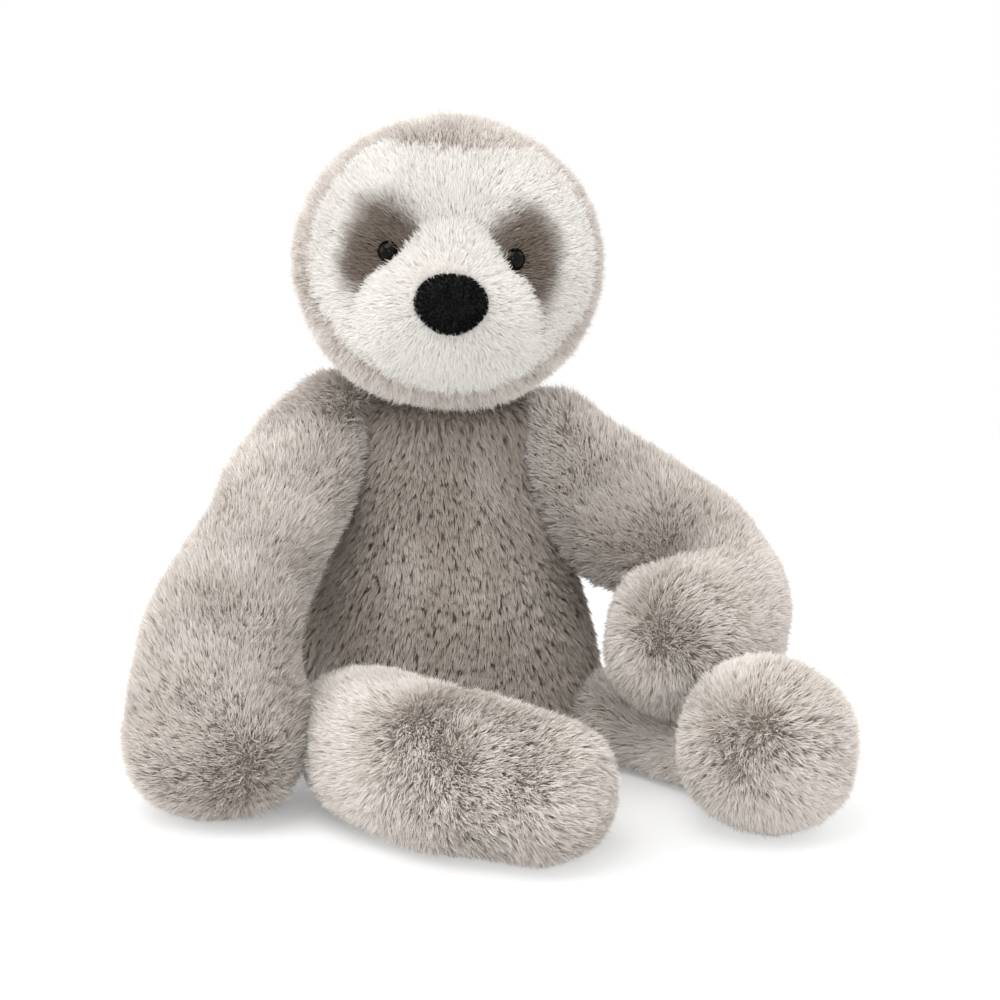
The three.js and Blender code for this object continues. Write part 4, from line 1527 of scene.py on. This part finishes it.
    def fill(self) -> None:
        """Fills the ball behind the skin, clear of the neck and the eyes' washers."""
        polar = np.linspace(0.02, math.pi - 0.02, 70)
        around = np.linspace(0, 2 * math.pi, 100, endpoint=False)
        ways = self.ways(*np.meshgrid(polar, around, indexing="ij"))
        local = ways * (self.ball_reach(ways) - self.fill_inset)[..., None]
        for side in (-1, 1):
            base, out = self.eye_place(side)
            offset = local - base
            height = offset @ out
            away = np.linalg.norm(offset - out * height[..., None], axis=-1)
            push = np.maximum(height + self.eye_room, 0) * smooth_step(away, 14.0, 7.0) * (height > -30)
            local = local - out * push[..., None]
        points = self.out(local)
        normals = grid_normals(points, np.array(self.middle))
        points = give_way(points, normals, [self.toy.parts["torso"]], 8.5)
        self.toy.stuff(self, "head_stuffing", points)

    def set_nose(self) -> None:
        """A padded velour nose: an oval, drawn in towards its lower end, with a short sewn line there,
        whose tone is painted darker as shade in its crease.
        """
        coat = self.velour
        wide, deep, tall = (size / 2 - coat.root for size in self.nose_size)
        half_width, half_depth = self.nose_size[0] / 2, self.nose_size[1] / 2
        polar = np.linspace(0.03, math.pi - 0.03, 50)
        around = np.linspace(-math.pi, math.pi, 90)
        x, y, z = np.moveaxis(self.ways(*np.meshgrid(polar, around, indexing="ij")), -1, 0)
        draw = 1 - self.nose_draw * np.maximum(-z, 0) ** 1.5
        square = 1 + 0.05 * np.abs(x * z) * np.where(z > 0, 1.0, 0.2)
        low = smooth_step(z, -0.25, -0.6)
        crease = self.crease_depth * np.exp(-(x * half_width) ** 2) * low * smooth_step(-y, 0.0, 0.4)
        local = np.stack([x * draw * square * wide, y * deep + crease, z * square * tall], -1)
        local += [self.nose_aside, half_depth - self.nose_front, -self.nose_drop]
        points = self.out(local)
        normals = grid_normals(points, self.out(np.array([0, half_depth - self.nose_front, -self.nose_drop])))
        full = np.ones(points.shape[:2])
        lean = unit(np.gradient(points, axis=0)) * 0.4 + swirls(points, 9.0, 71) * 0.4
        # Along the sewn line the pile is shorter and the tone darker: painted shade in its crease
        line = np.exp(-((x * half_width) / 1.1) ** 2) * low
        tone = 0.4 + 0.2 * waves(points, 6.0, 72) + line
        cloth = Cloth(points, normals, lean, full - 0.5 * line, tone, full)
        self.toy.seed += 1
        rings, faces = closed_grid(points[:, :-1])
        # The squares are halved, so that the ground has triangles alone
        ground = np.concatenate([faces[1], faces[2], faces[0][:, :3], faces[0][:, [0, 2, 3]]])
        places = np.stack([np.linspace(0.05, 0.95, len(rings)), np.full(len(rings), 0.02)], -1)
        piece = self.toy.join_pile(
            "nose_velour_pad", coat.pile, (rings, ground, places),
            grow_pile(cloth, coat, self.toy.seed, lambda tips: np.ones(len(tips))))
        self.toy.hand_in(piece, self.body, "nose", coat.pile.value, self.nose_fill)

    def turned(self, side: int, profile: Sequence[tuple[float, float]]) -> Array:
        """Turns a profile about an eye's axis.

        Args:
            side: -1 for the right eye, 1 for the left.
            profile: Distance from the axis and height along it, from end to end.

        Returns:
            A ring of points for each point of the profile.
        """
        base, out = self.eye_place(side)
        across = unit(np.cross(out, UP))
        other = np.cross(out, across)
        angle = np.linspace(0, 2 * math.pi, 48, endpoint=False)
        radius, height = np.array(profile).T
        ring = across * np.cos(angle)[:, None] + other * np.sin(angle)[:, None]
        points = base + radius[:, None, None] * ring + height[:, None, None] * out
        return self.out(points)

    def set_eye(self, side: int, name: str) -> None:
        """A domed eye on its shank, and the washer behind the cloth that locks it. Both are profiles that
        are turned about the eye's axis.

        Args:
            side: -1 for the right eye, 1 for the left.
            name: The word for that side.
        """
        radius, edge, rise = self.eye_diameter / 2, self.eye_edge, self.eye_dome
        sweep = np.linspace(0, math.pi / 2, 14)
        dome = [(radius * math.cos(a), edge + rise * math.sin(a)) for a in sweep[:-1]] + [(0.02, edge + rise)]
        shank = [(0.02, -10.0), (1.2, -10.0), (1.6, -9.4), (1.6, -7.2), (1.45, -7.0), (1.6, -6.8),
                 (1.6, -0.2), (1.9, 0.0), (radius - 0.25, 0.0), (radius, 0.25)]
        points, faces = closed_grid(self.turned(side, shank + dome))
        piece = make_mesh(f"eye_{name}_dome", points, faces, [self.toy.wardrobe.eye])
        self.toy.hand_in(piece, self.body, f"eye_{name}", "eye_gloss")
        top = self.eye_sunk - self.skin_depth - self.washer_gap
        low = top - self.washer_thick
        profile = [(1.95, low + 0.3), (2.2, low), (5.6, low), (6.0, low + 0.3), (6.0, top - 0.3), (5.6, top),
                   (4.6, top - 0.35), (3.4, top - 0.35), (2.6, top), (2.2, top), (1.95, top - 0.3)]
        rings = self.turned(side, profile)
        rows, columns = rings.shape[:2]
        # The last ring joins the first
        faces = grid_faces(rows + 1, columns, wrap=True) % (rows * columns)
        points = rings.reshape(-1, 3)
        a, b, c = (points[faces[:, k]] for k in range(3))
        middle = self.out(self.eye_place(side)[0])
        volume = (np.cross(a - middle, b - middle) * (c - middle)).sum()
        piece = make_mesh(f"eye_washer_{name}_ring", points, [faces if volume > 0 else faces[:, ::-1]],
                          [self.toy.wardrobe.washer])
        self.toy.hand_in(piece, self.body, f"eye_washer_{name}", "washer_plastic")


@dataclass
class Studio:
    """A white sweep of paper, soft daylight from all round and a camera in front, a little above."""

    target: Triple = (0.024, 0.0, 0.1155)
    distance: float = 1.6
    elevation: float = math.radians(15.0)
    lens: float = 128.0
    half_floor: float = 4000.0
    # Each lamp's name, place in metres, side in metres and power in watts
    lamps: tuple[tuple[str, Triple, float, float], ...] = (
        ("Soft box above", (-0.5, -0.6, 1.9), 1.4, 23.0),
        ("Soft box behind right", (1.2, 0.7, 1.2), 0.9, 8.0),
        ("Soft box left", (-1.5, -0.3, 0.7), 0.9, 5.5),
        ("Small light beside the camera", (-0.12, -1.5, 0.75), 0.22, 2.5))

    def paper(self) -> None:
        """A floor that is white where it is seen and keeps a soft shadow near the toy, which fades out
        with distance."""
        material = new_material("White paper sweep")
        place = add_node(material, "TexCoord").outputs["Object"]
        far = add_node(material, "VectorMath", {"operation": "LENGTH"}, {0: place})
        fade = shade_ramp(material, far.outputs["Value"],
                          [(0.1, "#808080"), (0.17, "#cdcdcd"), (0.7, "#ffffff")])
        paper = add_node(material, "BsdfDiffuse", {"in:Color": (0.95, 0.95, 0.95, 1)})
        white = add_node(material, "Emission", {"in:Color": (1, 1, 1, 1), "in:Strength": 1.0})
        shown = add_node(material, "MixShader", links={0: fade, 1: paper.outputs[0], 2: white.outputs[0]})
        seen = self.seen(material)
        mixed = add_node(material, "MixShader", links={0: seen, 1: paper.outputs[0], 2: shown.outputs[0]})
        finish_surface(material, mixed)
        points = self.half_floor * np.array([[-1.0, -1, 0], [1, -1, 0], [1, 1, 0], [-1, 1, 0]])
        make_mesh("paper_sweep", points, [np.array([[0, 1, 2, 3]])], [material])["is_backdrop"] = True

    def seen(self, material: Material) -> bpy.types.NodeSocket:
        """Picks out rays that end in the picture straight, in a gloss or through glass.

        Args:
            material: The material that asks.

        Returns:
            A socket that is one for them and zero for the others.
        """
        path = add_node(material, "LightPath")
        both = add_node(material, "Math", {"operation": "MAXIMUM"},
                        {0: path.outputs["Is Camera Ray"], 1: path.outputs["Is Glossy Ray"]})
        most = add_node(material, "Math", {"operation": "MAXIMUM"},
                        {0: both.outputs[0], 1: path.outputs["Is Transmission Ray"]})
        return most.outputs[0]

    def sky(self) -> None:
        """A world that is white where it is seen and lights the toy softly."""
        world = bpy.data.worlds.new("Studio")
        bpy.context.scene.world = world
        world.use_nodes = True
        world.node_tree.nodes.clear()
        seen = add_node(world, "LightPath").outputs["Is Camera Ray"]
        light = add_node(world, "Background", {"in:Color": (1.0, 0.995, 0.985, 1), "in:Strength": 0.95})
        white = add_node(world, "Background", {"in:Color": (1, 1, 1, 1), "in:Strength": 1.0})
        mix = add_node(world, "MixShader", links={0: seen, 1: light.outputs[0], 2: white.outputs[0]})
        add_node(world, "OutputWorld", links={"Surface": mix.outputs[0]})

    def lamp(self, name: str, place: Triple, size: float, power: float) -> None:
        """A square soft box that looks at the toy.

        Args:
            name: The lamp's name.
            place: Where it hangs, in metres.
            size: Its side in metres.
            power: Its power in watts.
        """
        data = bpy.data.lights.new(name, "AREA")
        data.size = size
        data.energy = power
        lamp = bpy.data.objects.new(name, data)
        lamp.location = place
        way = np.array(self.target) - np.array(place)
        tilt, turn = math.acos(-way[2] / np.linalg.norm(way)), math.atan2(way[1], way[0])
        lamp.rotation_euler = (tilt, 0, turn - math.pi / 2)
        bpy.context.collection.objects.link(lamp)

    def build(self) -> None:
        """Sets out the paper, the light and the camera."""
        self.paper()
        self.sky()
        for values in self.lamps:
            self.lamp(*values)
        camera = bpy.data.objects.new("Camera", bpy.data.cameras.new("Camera"))
        camera.data.lens = self.lens
        camera.data.sensor_width = 36.0
        camera.data.clip_end = 20.0
        x, y, z = self.target
        back, up = self.distance * math.cos(self.elevation), self.distance * math.sin(self.elevation)
        camera.location = (x, y - back, z + up)
        camera.rotation_euler = (math.pi / 2 - self.elevation, 0, 0)
        bpy.context.collection.objects.link(camera)
        bpy.context.scene.camera = camera


def route(start: Sequence[float], end: Sequence[float], shares: Sequence[Sequence[float]]) -> Array:
    """A limb's middle line in mm: its pivot, plus shares along X, Y and Z of the way to its paw."""
    return np.array(start) + np.array(shares, dtype=float) * (np.array(end) - np.array(start))


def limbs(toy: Toy) -> list[Limb]:
    """The two arms and two legs in the pose of the toy at rest.

    Args:
        toy: What they belong to.

    Returns:
        The limbs.
    """
    paw, foot = 36.0, 33.6
    right_arm = Limb(
        toy, "arm_right", ("outer", "inner"),
        route((-49.5, -2, 154.5), (-98.6, -92, 34.5),
              [(0, 0, 0), (0.3625, 0.22, 0.205), (0.7025, 0.51, 0.445), (0.96, 0.8, 0.68), (1, 1, 1)]),
        seam_radii=np.array([0.61, 0.74, 0.84, 0.95, 1.04]) * paw,
        panel_radii=np.array([0.55, 0.75, 0.745, 0.93, 1.08]) * paw,
        steady=Fixed.PANEL, steady_way=np.array([-1.0, 0, 0]), root_cap=20.2, paw_cap=paw,
        whorl=(-90, -97, 26), combed=140.0)
    left_arm = Limb(
        toy, "arm_left", ("inner", "outer"),
        route((46, -2, 138), (103, -62, 68.2),
              [(0, 0, 0), (0.51, 0.05, 0.37), (0.92, 0.13, 0.55), (1.22, 0.28, 0.74), (1.34, 0.56, 0.97),
               (1, 1, 1)]),
        seam_radii=np.array([0.74, 0.875, 0.88, 0.88, 0.97, 0.95]) * paw,
        panel_radii=np.array([0.53, 0.6, 0.69, 0.72, 0.79, 0.94]) * paw,
        steady=Fixed.SEAM, steady_way=UP, root_cap=28.0, paw_cap=0.74 * paw,
        whorl=(101, -62, 72.5), combed=140.0, fan=1.0)
    leg_panels = np.array([25 / foot, 0.88, 1, 1.01, 0.94]) * foot
    leg_line = route((-33, -45, 0), (39, -146, 0),
                     [(0, 0, 0), (-0.02, 0.29, 0), (0.23, 0.66, 0), (0.57, 0.88, 0), (1, 1, 0)])
    leg_line[:, 2] = leg_panels - 2.0
    right_leg = Limb(
        toy, "leg_right", ("upper", "lower"), leg_line,
        seam_radii=np.array([27.6 / foot, 0.9, 0.98, 1, 0.95]) * foot, panel_radii=leg_panels,
        steady=Fixed.PANEL, steady_way=UP, root_cap=25.0, paw_cap=0.95 * foot,
        whorl=(-5, -123, 38), whorl_painted_shade=0.05)
    splay_panels = np.array([20, 20, 17.3, 0.608 * paw, 1.03 * paw])
    splay_line = route((50, -10, 0), (137.6, -108, 0),
                       [(0, 0, 0), (0.25, 0.07, 0), (0.55, 0.29, 0), (0.84, 0.65, 0), (1, 1, 0)])
    splay_line[:, 2] = splay_panels - 1.5
    left_leg = Limb(
        toy, "leg_left", ("upper", "lower"), splay_line,
        seam_radii=np.array([22, 21, 19.5, 0.58 * paw, 1.04 * paw]), panel_radii=splay_panels,
        steady=Fixed.PANEL, steady_way=UP, root_cap=22.0, paw_cap=paw,
        whorl=(134, -113, 40), combed=120.0)
    return [right_arm, left_arm, right_leg, left_leg]


def main() -> None:
    """Builds the studio, then the toy's parts in order."""
    logging.basicConfig(level=logging.INFO, format="%(message)s")
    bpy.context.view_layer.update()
    bpy.context.scene.view_settings.view_transform = "Standard"
    Studio().build()
    toy = Toy(Wardrobe())
    toy.parts["torso"] = Torso(toy)
    toy.parts["head"] = Head(toy)
    for limb in limbs(toy):
        toy.parts[limb.name] = limb
    for name, part in toy.parts.items():
        LOG.info("building %s", name)
        part.build()
    total = sum(len(o.data.polygons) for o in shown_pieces())
    LOG.info("faces in all: %d", total)


if __name__ == "__main__":
    main()
